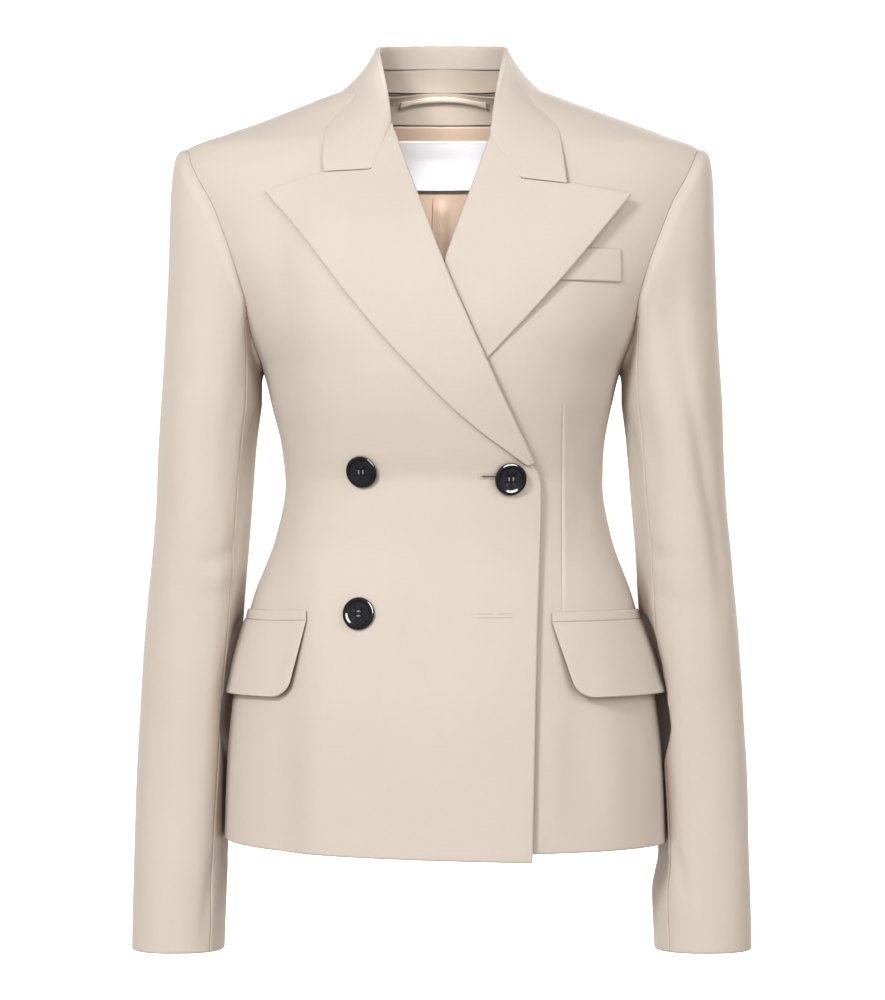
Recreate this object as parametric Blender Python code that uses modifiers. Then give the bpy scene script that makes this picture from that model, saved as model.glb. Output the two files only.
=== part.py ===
"""A double breasted blazer, filled out as if worn, with no wearer.

The body is a hollow form of horizontal sections, and every piece of cloth is a wall lofted over it: two
fronts, two backs, two-piece sleeves, turned lapels, a collar on its stand, pockets, and what shows inside
the neck.
Lengths are in millimetres until a mesh is made. The wearer faces -Y, and the wearer's left is +X.
"""

import math

import bmesh
import bpy
from mathutils import Vector

NAME = "double_breasted_blazer"
MM = 0.001

# Cloth
CLOTH = 1.8
LINING = 1.0
SEAM = 0.32  # air between two pieces at a seam
LAY = 0.8  # air between two layers that lie on each other
OVERLAP_LIFT = 7.0  # how far the right front stands out to pass over the left lapel

# Body form: a section for each height, square-ish ovals from the side seams
SQUARE = 2.4
BODY_COLUMNS = ("z", "mid", "half", "front", "back")
BODY_SECTIONS = (
    (-606, 3.0, 177.0, 121, 108),
    (-530, 2.5, 174.0, 120, 112),
    (-486, 2.0, 169.5, 119, 113),
    (-450, 1.5, 164.0, 116, 108),
    (-402, 1.0, 152.0, 110, 98),
    (-350, 1.5, 133.5, 104, 84),
    (-310, 2.0, 126.5, 104, 80),
    (-282, 1.0, 128.5, 112, 86),
    (-246, 0.0, 136.0, 122, 95),
    (-222, 0.0, 142.0, 126, 100),
    (-193, 0.0, 158.0, 127, 104),
    (-165, 0.0, 173.0, 124, 106),
    (-136, 0.0, 188.0, 117, 106),
    (-97, 0.0, 203.0, 102, 102),
    (-60, 0.0, 214.0, 84, 93),
    (-42, 1.0, 203.5, 74, 86),
    (-31, 2.0, 174.8, 66, 80),
    (-20, 2.2, 144.6, 58, 75),
    (-10, 1.0, 117.6, 52, 72),
    (0, 0.0, 91.4, 46, 70),
    (8, 0.0, 68.0, 42, 68),
    (14, 0.0, 50.0, 40, 66),
)

# Cut lines of the fronts: distance from the middle towards the piece's own side, and height
NECK_POINT = (68, 8)
SHOULDER_POINT_Z = -42.0
UNDERARM_Z = -222.0
CENTRE_BACK = {"hem": -594, "neck": 10}
SIDE_HEM = {"right": -590.5, "left": -594.5}
FRONT_EDGE = {
    "right": ((-68, -601), (-71, -452), (-74, -314), (-72, -301), (-66, -292)),
    "left": ((-66, -595), (-67, -452), (-66, -318), (-60, -303), (-52, -295)),
}
ROLL_LINE = {
    "right": ((-66, -292), (-30.6, -214), (1.7, -139.5), (21.7, -83.5), (39.8, -29.5)),
    "left": ((-52, -295), (-23, -215), (3.7, -140), (24.6, -81.6), (38.6, -41)),
}
NECKLINE = {
    "right": ((39.8, -29.5), (46, -14), (57, -1), (64, 4.5), NECK_POINT),
    "left": ((38.6, -41), (47, -16), (57, -1), (64, 4.5), NECK_POINT),
}
# Armholes: turn round the body from its front or its back, and height, from the underarm up
ARMHOLE = {
    "front": (
        (90, -222), (80, -215), (70.7, -189), (62.5, -161), (60, -130),
        (61.4, -92), (66.5, -61), (77, -46), (90, -42),
    ),
    "back": (
        (90, -222), (80, -214), (70, -187), (64.5, -157), (62, -122),
        (63.5, -89), (69, -60), (78, -46), (90, -42),
    ),
}
ROWS = {"hem_to_break": 9, "break_to_gorge": 7, "gorge_to_neck": 4, "side_seam": 12, "armhole": 8}
FRONT_COLUMNS = 12
BACK_NECK_COLUMNS = 6
BACK_CROWDING = 1.5  # how much closer the rows of a back lie at the neck

# Lapels: outer edge from the break up to the tip, and top edge from the gorge out to the tip
LAPEL_EDGE = {
    "right": (
        (-63, -293.5), (-31, -269.3), (-1, -243.2), (43.7, -196.8),
        (70, -165.2), (108.6, -115.7), (136.9, -82.5),
    ),
    "left": ((-44, -293), (-8, -256), (33.2, -214.8), (91.3, -150.7), (143.5, -86.4)),
}
GORGE_TURN = {"right": (54.9, -66.2), "left": (61.5, -73.9)}
NOTCH = {"right": (90.9, -68.5), "left": (96.0, -78.7)}
LAPEL_PROUD = {"right": 1.0, "left": 6.0}  # how far the tip stands off
LAPEL_ROWS = 9
LAPEL_COLUMNS = 6
ROLL_TOP = 3.2  # height of the roll over the cloth it turns back on
LOOP_STEPS = 4


# Collar: its fold, its outer edge and how hollow it is between them, at stations from the gorge (0) round
# to the centre back
COLLAR_COLUMNS = ("station", "fold_x", "fold_y", "fold_z", "edge_x", "edge_y", "edge_z", "hollow")
COLLAR_STATIONS = (
    (3, 41.0, -62, -8, 94.0, -78, -50, 0.0),
    (5, 45.5, -42, 13, 92.5, -60, -29, 2.0),
    (8, 52.5, -2, 38, 84.0, -4, 6, 5.0),
    (12, 51.5, 29, 44, 78.0, 38, 3.5, 2.0),
    (16, 32.0, 57, 47.2, 44.0, 72.5, -1, 0.0),
    (20, 0.0, 67.5, 49, 0.0, 76, -1, 0.0),
    (24, -32.0, 57, 47.2, -44.0, 72.5, -1, 0.0),
)
CENTRE_STATION = 20
FALL_COLUMNS = 4
FOLD_RADIUS = 2.5
FOLD_DROP = 17.0  # how far the collar goes down inside, to the seam with its stand
FOLD_ANGLES = (150, 100, 50, 0)
STAND_ROWS = 2
STAND_FROM = 4  # the first station that the stand reaches

# What shows inside the neck
FACING_THICKNESS = 1.2
FACING_DEPTH = CLOTH + 1.5
FACING_BOTTOM = {"centre": -15.0, "end": -5.0}
FACING_TURN = 75  # how far round from the centre back it goes
FACING_COLUMNS, FACING_ROWS = 20, 3
FACING_END_DEPTH = 2.6  # how much further in its ends lie
LINING_DEPTH = CLOTH + 1.5
LINING_LOOSE = 4.5  # how much further in it hangs below the shoulder blades
LINING_HEM = -572.0
LINING_EDGE = (
    (85, LINING_HEM), (85, -240), (74, -214), (64, -187), (58, -157), (55, -122),
    (54, -95), (55, -75), (57, -52), (61, -31), (66, -12),
)
LINING_ROWS, LINING_CROWDING = 18, 1.4
LINING_SHARES = (-1, -0.84, -0.67, -0.5, -0.34, -0.18, -0.05, 0, 0.05, 0.18, 0.34, 0.5, 0.67, 0.84, 1)
PLEAT_DEEP, PLEAT_WIDE, PLEAT_TOP, PLEAT_END = 5.0, 9.0, -72, -330
LABEL = {"left": -40.0, "right": 40.0, "top": -26.0, "bottom": -66.0, "thickness": 1.0, "lay": 1.5}
LABEL_COLUMNS = 8
LOOP = {"left": -37.0, "right": 40.0, "foot": 2.6, "rise": 6.0, "tall": 4.5, "thickness": 1.2, "proud": 2.5}
LOOP_COLUMNS = 12

# Pockets: inner end of the flap at its top and bottom, counted from the middle to the piece's own side
FLAP_TOP, FLAP_BOTTOM = -417.4, -476.0
FLAP_INNER = {"right": (102.0, 117.0), "left": (85.5, 103.0)}
FLAP_CORNER = 12.0
FLAP_OUTER_TURN = 91.5
FLAP_COLUMNS = 8
FLAP_SHARES = (0, 0.3, 0.6, 0.8, 0.9, 0.97, 1.0)
FLAP_LIFT = {"inner": 0.5, "outer": 0.85}  # how much of its standing off shows at either end
JET = {"top": -409.5, "bottom": -416.6, "thickness": 1.2}
WELT = {"top": -128.0, "bottom": -152.5, "outer": 138.6, "inner_top": 100.0, "inner_bottom": 84.0}
WELT_COLUMNS = 4
TRIM_LAY = 0.6

# Buttons: across towards the wearer's right, height, and how far the thread holds each off the cloth
BUTTONS = {
    "fastened_button": (-50.3, -304.7, 1.6),
    "upper_button": (58.5, -298.1, 0.8),
    "lower_button": (61.9, -411.1, 0.4),
}
BUTTON_PROFILE = (
    (0, 2.0), (8.2, 2.2), (9.8, 3.4), (11.3, 4.0), (12.4, 3.2), (12.7, 1.8), (11.4, 0.0), (0, 0.0),
)
BUTTON_SIDES = 24
BUTTON_RADIUS = 12.7

# Sleeves, from the cuff up: middle and half sizes across and front to back
SLEEVE_COLUMNS = ("z", "mid_x", "mid_y", "half_x", "half_y")
SLEEVE_SECTIONS = (
    (-680.5, 211.0, 6, 37.0, 45.0),
    (-620, 209.5, 10, 37.5, 46.5),
    (-560, 207.5, 14, 38.0, 48.5),
    (-500, 204.0, 15, 38.5, 51.0),
    (-440, 199.5, 13, 39.0, 54.0),
    (-378, 194.5, 9, 38.5, 56.0),
    (-330, 190.5, 6, 38.2, 58.0),
    (-282, 187.4, 4, 39.0, 60.0),
    (-246, 184.2, 2, 40.2, 61.0),
)
SLEEVE_SQUARE = 2.3
SLEEVE_ROWS = 12
SLEEVE_CLEARANCE = 2.0
SLEEVE_CLOSES_IN = 14.0  # how much nearer to the middle it may come below the body's hem
CUFF_WIDER = {"right": 0.0, "left": 2.0}  # how much wider each half of a sleeve is below the hem
SLEEVE_SEAM = 0.25  # how far each piece draws back from the seam down the sleeve
FLAP_STANDS_OFF = {"right": 5.0, "left": 8.0}
CAP_SHARES = (0.07, 0.17, 0.33, 0.54, 0.78, 1.0)
CAP_BULGE = 19.0
CAP_FLATTER = 12.0  # how much its outer side is drawn in above the upper arm
CAP_ROUND = 7.0
RING_POINTS = 2 * ROWS["armhole"]
FOREARM_SEAM = 2  # places round a ring
HINDARM_SEAM = 11


class Table:
    """Rows of named columns, read at any height by curves that keep within their rows."""

    def __init__(self, columns, rows):
        self.keys = [row[0] for row in rows]
        self.curves = {name: curve(self.keys, [row[i] for row in rows]) for i, name in enumerate(columns)}

    def at(self, key):
        key = min(max(key, self.keys[0]), self.keys[-1])
        return {name: read(key) for name, read in self.curves.items()}


def curve(keys, values):
    """A smooth curve through the values, with no overshoot."""
    steps = [(b - a) / (q - p) for p, q, a, b in zip(keys, keys[1:], values, values[1:])]
    inner = [0.0 if a * b <= 0 else 2 * a * b / (a + b) for a, b in zip(steps, steps[1:])]
    slopes = [steps[0], *inner, steps[-1]]

    def read(key):
        i = 0
        while i < len(keys) - 2 and key > keys[i + 1]:
            i += 1
        span = keys[i + 1] - keys[i]
        t = (key - keys[i]) / span
        start = (1 + 2 * t) * (1 - t) ** 2 * values[i] + t * (1 - t) ** 2 * span * slopes[i]
        return start + t * t * (3 - 2 * t) * values[i + 1] + t * t * (t - 1) * span * slopes[i + 1]

    return read


def path(points, steps, crowding=1.0):
    """steps + 1 points along a smooth line through the given ones, closer at its end for crowding over 1."""
    keys = [0.0]
    for a, b in zip(points, points[1:]):
        keys.append(keys[-1] + math.dist(a, b))
    reads = [curve(keys, [point[i] for point in points]) for i in range(len(points[0]))]
    shares = [1 - (1 - k / steps) ** crowding for k in range(steps + 1)]
    return [tuple(read(keys[-1] * share) for read in reads) for share in shares]


def ramp(value, low, high):
    """0 below low and 1 above high, with soft ends."""
    t = min(max((value - low) / (high - low), 0.0), 1.0)
    return t * t * (3 - 2 * t)


def mix(a, b, t):
    return a + (b - a) * t


BODY = Table(BODY_COLUMNS, BODY_SECTIONS)
SLEEVE = Table(SLEEVE_COLUMNS, SLEEVE_SECTIONS)
COLLAR = Table(COLLAR_COLUMNS, COLLAR_STATIONS)
SIGN = {"right": -1, "left": 1}


def form(turn, z):
    """The body form at a turn in degrees from its front, +90 at the wearer's left side."""
    row = BODY.at(z)
    s, c = math.sin(math.radians(turn)), math.cos(math.radians(turn))
    depth = row["front"] if c >= 0 else row["back"]
    y = -math.copysign(depth * math.sqrt(max(0.0, 1 - abs(s) ** SQUARE)), c)
    return Vector((row["mid"] + row["half"] * s, y, z))


def outward(turn, z):
    across = form(turn + 0.5, z) - form(turn - 0.5, z)
    up = form(turn, z + 0.5) - form(turn, z - 0.5)
    return across.cross(up).normalized()


def turn_at(x, z, behind=False):
    row = BODY.at(z)
    turn = math.degrees(math.asin(min(max((x - row["mid"]) / row["half"], -1.0), 1.0)))
    return math.copysign(180 - abs(turn), x) if behind else turn


def overlap(side, x, z):
    """How far a front stands out from the form: the right one passes over the left one and its lapel."""
    if side == "left":
        return 0.0
    return OVERLAP_LIFT * ramp(x, -130, -88) * ramp(-z, 60, 115)


def on_front(side, across, z, height=0.0):
    """A point over a front: across is counted from the middle towards the piece's own side."""
    x = SIGN[side] * across
    turn = turn_at(x, z)
    return form(turn, z) + (overlap(side, x, z) + height) * outward(turn, z)


def on_body(side, turn, z, height=0.0):
    base = form(turn, z)
    return base + (overlap(side, base.x, z) + height) * outward(turn, z)


# Grids and walls


def grid_normals(grid):
    """The outward side of each point of a grid of points, from its neighbours."""
    last_row, last_column = len(grid) - 1, len(grid[0]) - 1
    normals = []
    for i, row in enumerate(grid):
        normals.append([])
        for j in range(len(row)):
            across = row[min(j + 1, last_column)] - row[max(j - 1, 0)]
            along = grid[min(i + 1, last_row)][j] - grid[max(i - 1, 0)][j]
            normals[-1].append(across.cross(along).normalized())
    return normals


def behind_of(grid, thickness, turned=1):
    """The other face of a wall whose right side is the grid."""
    normals = grid_normals(grid)
    return [
        [point - turned * thickness * normal for point, normal in zip(row, row_normals)]
        for row, row_normals in zip(grid, normals)
    ]


def pull_in(outer, inner, sides, gap=SEAM / 2):
    """Draws the named edges of a wall back from a seam."""
    rows, columns = len(outer), len(outer[0])
    for side in sides:
        if side in ("bottom", "top"):
            i, beside = (0, 1) if side == "bottom" else (rows - 1, rows - 2)
            pairs = [((i, j), (beside, j)) for j in range(columns)]
        else:
            j, beside = (0, 1) if side == "first" else (columns - 1, columns - 2)
            pairs = [((i, j), (i, beside)) for i in range(rows)]
        for (i, j), (p, q) in pairs:
            step = (outer[p][q] - outer[i][j]).normalized() * gap
            outer[i][j] = outer[i][j] + step
            inner[i][j] = inner[i][j] + step


def wall(name, outer, inner, material):
    """A closed solid between two grids of points."""
    mesh = bpy.data.meshes.new(name)
    shape = bmesh.new()
    layers = [[[shape.verts.new(point * MM) for point in row] for row in grid] for grid in (outer, inner)]
    rows, columns = len(outer), len(outer[0])
    for layer in layers:
        for i in range(rows - 1):
            for j in range(columns - 1):
                shape.faces.new((layer[i][j], layer[i][j + 1], layer[i + 1][j + 1], layer[i + 1][j]))
    rim = [(0, j) for j in range(columns)] + [(i, columns - 1) for i in range(1, rows)]
    rim += [(rows - 1, j) for j in range(columns - 2, -1, -1)] + [(i, 0) for i in range(rows - 2, 0, -1)]
    for (i, j), (p, q) in zip(rim, rim[1:] + rim[:1]):
        shape.faces.new((layers[0][i][j], layers[0][p][q], layers[1][p][q], layers[1][i][j]))
    bmesh.ops.recalc_face_normals(shape, faces=shape.faces)
    shape.to_mesh(mesh)
    shape.free()
    return add(name, mesh, material)


def add(name, mesh, material):
    mesh.materials.append(material)
    mesh.shade_smooth()
    mesh.set_sharp_from_angle(angle=math.radians(40))
    piece = bpy.data.objects.new(name, mesh)
    PARTS.objects.link(piece)
    return piece


def make_material(name, colour, roughness):
    material = bpy.data.materials.new(name)
    material.use_nodes = True
    shader = material.node_tree.nodes["Principled BSDF"]
    shader.inputs["Base Color"].default_value = (*colour, 1.0)
    shader.inputs["Roughness"].default_value = roughness
    shader.inputs["Metallic"].default_value = 0.0
    return material


# Fronts and backs


def front_edge(side):
    """The inner edge of a front from the hem to the neck point, as turns and heights."""
    stretches = (
        (FRONT_EDGE[side], ROWS["hem_to_break"]),
        (ROLL_LINE[side], ROWS["break_to_gorge"]),
        (NECKLINE[side], ROWS["gorge_to_neck"]),
    )
    points = []
    for line, steps in stretches:
        points = points[:-1] + [(turn_at(SIGN[side] * across, z), z) for across, z in path(line, steps)]
    return points


def outer_edge(side, face):
    """The side seam and the armhole, as turns from the front and heights."""
    rows = ROWS["side_seam"]
    seam = [(90, mix(SIDE_HEM[side], UNDERARM_Z, k / rows)) for k in range(rows)]
    line = seam + path(ARMHOLE[face], ROWS["armhole"])
    return [(SIGN[side] * (turn if face == "front" else 180 - turn), z) for turn, z in line]


def fill(start, end, columns):
    """Rows of turns and heights between two edges."""
    return [
        [(mix(turn_a, turn_b, j / columns), mix(z_a, z_b, j / columns)) for j in range(columns + 1)]
        for (turn_a, z_a), (turn_b, z_b) in zip(start, end)
    ]


def body_wall(name, side, cells, material, pulled, depth=0.0, thickness=CLOTH):
    """A wall over cells of turns and heights, its face at the given depth inside the form."""
    outer = [[on_body(side, turn, z, -depth) for turn, z in row] for row in cells]
    inner = [[on_body(side, turn, z, -depth - thickness) for turn, z in row] for row in cells]
    pull_in(outer, inner, pulled)
    return wall(name, outer, inner, material)


def make_front(side):
    cells = fill(front_edge(side), outer_edge(side, "front"), FRONT_COLUMNS)
    body_wall(f"{side}_front", side, cells, CLOTH_MATERIAL, ("last", "top"))


def back_lines(side):
    """Three lines up a back: its centre, the one that ends at the neck point, and its outer edge."""
    end = outer_edge(side, "back")
    rows = len(end) - 1
    shares = [1 - (1 - i / rows) ** BACK_CROWDING for i in range(rows + 1)]
    centre = [(SIGN[side] * 180, mix(CENTRE_BACK["hem"], CENTRE_BACK["neck"], share)) for share in shares]
    middle = []
    for i, ((_, z_a), (_, z_b)) in enumerate(zip(centre, end)):
        z = mix(z_a, z_b, BACK_NECK_COLUMNS / (BACK_NECK_COLUMNS + FRONT_COLUMNS))
        z = mix(z, NECK_POINT[1], ramp(i / rows, 0.7, 1.0))
        middle.append((turn_at(SIGN[side] * NECK_POINT[0], z, behind=True), z))
    return centre, middle, end


def make_back(side):
    centre, middle, end = back_lines(side)
    near, far = fill(centre, middle, BACK_NECK_COLUMNS), fill(middle, end, FRONT_COLUMNS)
    cells = [a[:-1] + b for a, b in zip(near, far)]
    body_wall(f"{side}_back", "left", cells, CLOTH_MATERIAL, ("first", "last", "top"))


# Sleeves


def armhole_ring(side):
    """The sleeve's first ring: the outer points of the armhole, underarm first, up the front and down the
    back, each moved a seam's width off the edge of the body's cloth."""
    ring = []
    front, back = (outer_edge(side, face)[ROWS["side_seam"] :] for face in ("front", "back"))
    loop = front + back[-2:0:-1]
    points = [on_body(side, turn, z) for turn, z in loop]
    centre = sum(points, Vector()) / len(points)
    beside = zip(points[-1:] + points[:-1], points[1:] + points[:1])
    for (turn, z), point, (before, after) in zip(loop, points, beside):
        out = outward(turn, z)
        along = (after - before).normalized()
        off_edge = out.cross(along).normalized()
        if off_edge.dot(centre - point) < 0:
            off_edge = -off_edge
        ring.append(point + SEAM * (off_edge + out))
    return ring


def sleeve_ring(side, z):
    """An oval section of a sleeve at a height, its points in the armhole's order, kept clear of the body."""
    row = SLEEVE.at(z)
    wider = CUFF_WIDER[side] * ramp(-z, 605, 640)
    points = []
    for k in range(RING_POINTS):
        angle = math.radians(180 + 360 * k / RING_POINTS)
        c, s = math.cos(angle), math.sin(angle)
        x = row["mid_x"] - wider + (row["half_x"] + wider) * math.copysign(abs(c) ** (2 / SLEEVE_SQUARE), c)
        y = row["mid_y"] + row["half_y"] * math.copysign(abs(s) ** (2 / SLEEVE_SQUARE), s)
        points.append(Vector((SIGN[side] * max(x, body_reach(side, y, z)), y, z)))
    return points


def body_reach(side, y, z):
    """How far from the middle the body, with its flap, reaches at this depth, and the air beside it."""
    row = BODY.at(z)
    depth = row["front"] if y < 0 else row["back"]
    share = min(abs(y) / depth, 1.0)
    reach = SIGN[side] * row["mid"] + row["half"] * (1 - share**2) ** (1 / SQUARE)
    near_flap = ramp(z, -535, -500) * ramp(-z, 405, 430) * ramp(-y, -50, -20)
    reach -= SLEEVE_CLOSES_IN * ramp(-z, 605, 640)
    return reach + SLEEVE_CLEARANCE + near_flap * (TRIM_LAY + CLOTH + FLAP_STANDS_OFF[side])


def sleeve_grid(side):
    """Rows of rings from the armhole down to the cuff."""
    first = armhole_ring(side)
    end = sleeve_ring(side, SLEEVE_SECTIONS[-1][0])
    grid = [first]
    for share in CAP_SHARES:
        row = []
        for k, (start, finish) in enumerate(zip(first, end)):
            high = (1 - math.cos(2 * math.pi * k / RING_POINTS)) / 2
            ahead = -math.sin(2 * math.pi * k / RING_POINTS)
            bulge = Vector((mix(1.5, CAP_BULGE, high), CAP_ROUND * ahead, mix(-4, -1, high)))
            leave = start + Vector((SIGN[side] * bulge.x, bulge.y, bulge.z))
            arrive = finish + Vector((-SIGN[side] * CAP_FLATTER * high, 0, 0.8 * (start.z - finish.z)))
            t, r = share, 1 - share
            row.append(r**3 * start + 3 * r * r * t * leave + 3 * r * t * t * arrive + t**3 * finish)
        grid.append(row)
    steps = SLEEVE_ROWS
    for k in range(1, steps + 1):
        grid.append(sleeve_ring(side, mix(SLEEVE_SECTIONS[-1][0], SLEEVE_SECTIONS[0][0], k / steps)))
    return grid


def make_sleeve(side):
    grid = sleeve_grid(side)
    closed = [row + row[:1] for row in grid]
    inner = inner_ring_wall(closed, -SIGN[side])
    around = RING_POINTS
    pieces = (("top", FOREARM_SEAM, HINDARM_SEAM), ("under", HINDARM_SEAM, FOREARM_SEAM + around))
    for name, first, last in pieces:
        columns = [k % around for k in range(first, last + 1)]
        outer_part = [[row[k] for k in columns] for row in closed]
        inner_part = [[row[k] for k in columns] for row in inner]
        pull_in(outer_part, inner_part, ("first", "last"), SLEEVE_SEAM)
        wall(f"{side}_{name}_sleeve", outer_part, inner_part, CLOTH_MATERIAL)


def inner_ring_wall(closed, turned):
    """The inner face of a tube of closed rings, smooth where each ring meets itself."""
    padded = [row[-2:-1] + row + row[1:2] for row in closed]
    inner = behind_of(padded, CLOTH, turned)
    return [row[1:-1] for row in inner]


# Lapels


def lapel_top(side):
    """The top edge of a lapel, from the panel's edge by the gorge's turn and the notch out to the tip."""
    corners = (ROLL_LINE[side][-1], GORGE_TURN[side], NOTCH[side], LAPEL_EDGE[side][-1])
    points = [corners[0]]
    for a, b in zip(corners, corners[1:]):
        points += [((a[0] + b[0]) / 2, (a[1] + b[1]) / 2), b]
    return points


def lapel_height(side, u, z):
    """How high a lapel's face lies over the front, u from the roll out; its upper part stands off."""
    proud = LAPEL_PROUD[side] * u * u * ramp(z, -215, -105)
    return mix(ROLL_TOP, LAY + CLOTH, ramp(u, 0, 0.3)) + proud


def roll_loop(side, start, beside):
    """Points round the roll, from the panel's edge over to the lapel's face, for both faces of the cloth."""
    base = on_front(side, *start)
    out = outward(turn_at(SIGN[side] * start[0], start[1]), start[1])
    away = on_front(side, *beside) - base
    away = (away - away.dot(out) * out).normalized()
    radius, lift = (ROLL_TOP + CLOTH) / 2, (ROLL_TOP - CLOTH) / 2
    centre = base - SEAM * away + lift * out
    arms = []
    for k in range(LOOP_STEPS):
        angle = math.radians(180 * (1 - k / LOOP_STEPS))
        arms.append(math.cos(angle) * out - math.sin(angle) * away)
    return [centre + radius * arm for arm in arms], [centre + (radius - CLOTH) * arm for arm in arms]


def lapel_grids(side):
    rolls, edges = path(ROLL_LINE[side], LAPEL_ROWS), path(LAPEL_EDGE[side], LAPEL_ROWS)
    top = lapel_top(side)
    outer, inner = [], []
    for i, (roll, edge) in enumerate(zip(rolls, edges)):
        v = i / LAPEL_ROWS
        bend = v**3
        flat = []
        for j in range(LAPEL_COLUMNS + 1):
            u = j / LAPEL_COLUMNS
            spot = [mix(roll[n], edge[n], u) for n in (0, 1)]
            end = [mix(rolls[-1][n], edges[-1][n], u) for n in (0, 1)]
            across, z = (spot[n] + bend * (top[j][n] - end[n]) for n in (0, 1))
            flat.append((across, z, lapel_height(side, u, z)))
        loop_outer, loop_inner = roll_loop(side, flat[0][:2], flat[1][:2])
        outer.append(loop_outer + [on_front(side, *place) for place in flat])
        inner.append(loop_inner + [on_front(side, x, z, height - CLOTH) for x, z, height in flat])
    return outer, inner


def make_lapel(side):
    outer, inner = lapel_grids(side)
    pull_in(outer, inner, ("top",))
    wall(f"{side}_lapel", outer, inner, CLOTH_MATERIAL)


# Collar


def neck_seam(side):
    """The top edges of front and back round half the neck, one point for each pair of collar stations."""
    front = front_edge(side)[-ROWS["gorge_to_neck"] - 1 :]
    steps = BACK_NECK_COLUMNS
    centre, middle, _ = back_lines(side)
    (turn_a, z_a), (turn_b, z_b) = middle[-1], centre[-1]
    back = [(mix(turn_a, turn_b, k / steps), mix(z_a, z_b, k / steps)) for k in range(1, steps + 1)]
    return front + back


def seat(side, station, height):
    """The neck seam at a station, at a height over the body's cloth."""
    seam = neck_seam(side)
    if station > CENTRE_STATION:
        mirrored = seat(side, 2 * CENTRE_STATION - station, height)
        return Vector((-mirrored.x, mirrored.y, mirrored.z))
    low = min(int(station // 2), len(seam) - 2)
    a, b = (on_body("left", *seam[k], height) for k in (low, low + 1))
    return a.lerp(b, station / 2 - low)


def stand_foot(side, station):
    """The right side of the stand's lower edge, just above the neck seam and inside it."""
    seam = seat(side, station, 0)
    return seam + Vector((0, 0, SEAM)) - (CLOTH + SEAM / 2) * Vector((seam.x, seam.y, 0)).normalized()


def rest_on_body(point, height):
    """Moves a point out where it is nearer to the body than the height."""
    turn = turn_at(point.x, point.z, behind=point.y > 0)
    if abs(point.x) >= BODY.at(point.z)["half"]:
        return point
    out = outward(turn, point.z)
    short = height - (point - form(turn, point.z)).dot(out)
    return point + max(short, 0.0) * out


def collar_row(side, station):
    """The right side of the collar at a station, from inside the neck over the fold to the outer edge."""
    row = COLLAR.at(station)
    fold, edge = (
        Vector((SIGN[side] * row[f"{at}_x"], row[f"{at}_y"], row[f"{at}_z"])) for at in ("fold", "edge")
    )
    foot = stand_foot(side, station)
    out = Vector((fold.x, fold.y, 0)).normalized()
    up = fold - (edge + foot) / 2
    up = (up - up.dot(out) * out).normalized()
    centre = fold - FOLD_RADIUS * up
    turned = []
    for angle in FOLD_ANGLES:
        c, s = math.cos(math.radians(angle)), math.sin(math.radians(angle))
        turned.append(centre + FOLD_RADIUS * (c * out + s * up))
    start = centre - FOLD_RADIUS * out
    reach = min(FOLD_DROP, 0.5 * (foot - start).length)
    drop = start + reach * (foot - start).normalized()
    fall = []
    for k in range(1, FALL_COLUMNS + 1):
        sunk = row["hollow"] * math.sin(math.pi * k / FALL_COLUMNS)
        fall.append(turned[-1].lerp(edge, k / FALL_COLUMNS) - sunk * out)
    return [drop, *turned, *(rest_on_body(point, LAY + CLOTH + 0.6) for point in fall)]


def collar_half(side):
    """Both faces of half the collar, from the gorge to the centre back."""
    outer, inner = (grid[-1][: LOOP_STEPS + FALL_COLUMNS + 1] for grid in lapel_grids(side))
    first = COLLAR_STATIONS[0][0]
    rows = [collar_row(side, station) for station in range(first, CENTRE_STATION + 2)]
    seats = [seat(side, k, 0) for k in range(first + 1)]
    blended = [outer]
    for k in range(1, first):
        pairs = [(a - seats[0], b - seats[first]) for a, b in zip(outer, rows[0])]
        blended.append([seats[k] + a.lerp(b, k / first) for a, b in pairs])
    rows = blended + rows
    behind = behind_of(rows, CLOTH, SIGN[side])
    behind[0] = inner
    return rows[:-1], behind[:-1]


def make_collar():
    (right, right_behind), (left, left_behind) = collar_half("right"), collar_half("left")
    outer = right + left[-2::-1]
    inner = right_behind + left_behind[-2::-1]
    pull_in(outer, inner, ("bottom", "top"))
    wall("collar", outer, inner, CLOTH_MATERIAL)


def stand_half(side):
    rows = []
    for station in range(STAND_FROM, CENTRE_STATION + 2):
        foot, drop = stand_foot(side, station), collar_row(side, station)[0]
        high = drop + SEAM * (foot - drop).normalized()
        rows.append([foot.lerp(high, k / STAND_ROWS) for k in range(STAND_ROWS + 1)])
    return rows[:-1], behind_of(rows, CLOTH, -SIGN[side])[:-1]


def make_stand():
    (right, right_behind), (left, left_behind) = stand_half("right"), stand_half("left")
    wall("collar_stand", right + left[-2::-1], right_behind + left_behind[-2::-1], CLOTH_MATERIAL)


# Inside the neck


def on_back(from_centre, z, depth):
    """A point inside the back: the turn is counted from the centre back towards the wearer's left."""
    return on_body("left", 180 - from_centre, z, -depth)


def layer(name, cells, depth_of, thickness, material):
    """A wall on the inside of the back, over rows of turns from the centre back and heights."""
    outer = [[on_back(turn, z, depth_of(turn, z)) for turn, z in row] for row in cells]
    inner = [[on_back(turn, z, depth_of(turn, z) + thickness) for turn, z in row] for row in cells]
    return wall(name, outer, inner, material)


def facing_depth(turn, z):
    return FACING_DEPTH + FACING_END_DEPTH * ramp(abs(turn), 8, 40)


def make_facing():
    cells = []
    for i in range(FACING_ROWS + 1):
        row = []
        for j in range(FACING_COLUMNS + 1):
            share = 2 * j / FACING_COLUMNS - 1
            top = mix(CENTRE_BACK["neck"], NECK_POINT[1], abs(share)) - 1.0
            bottom = mix(FACING_BOTTOM["centre"], FACING_BOTTOM["end"], share * share)
            row.append((FACING_TURN * share, mix(bottom, top, i / FACING_ROWS)))
        cells.append(row)
    layer("back_neck_facing", cells, facing_depth, FACING_THICKNESS, CLOTH_MATERIAL)


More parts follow.
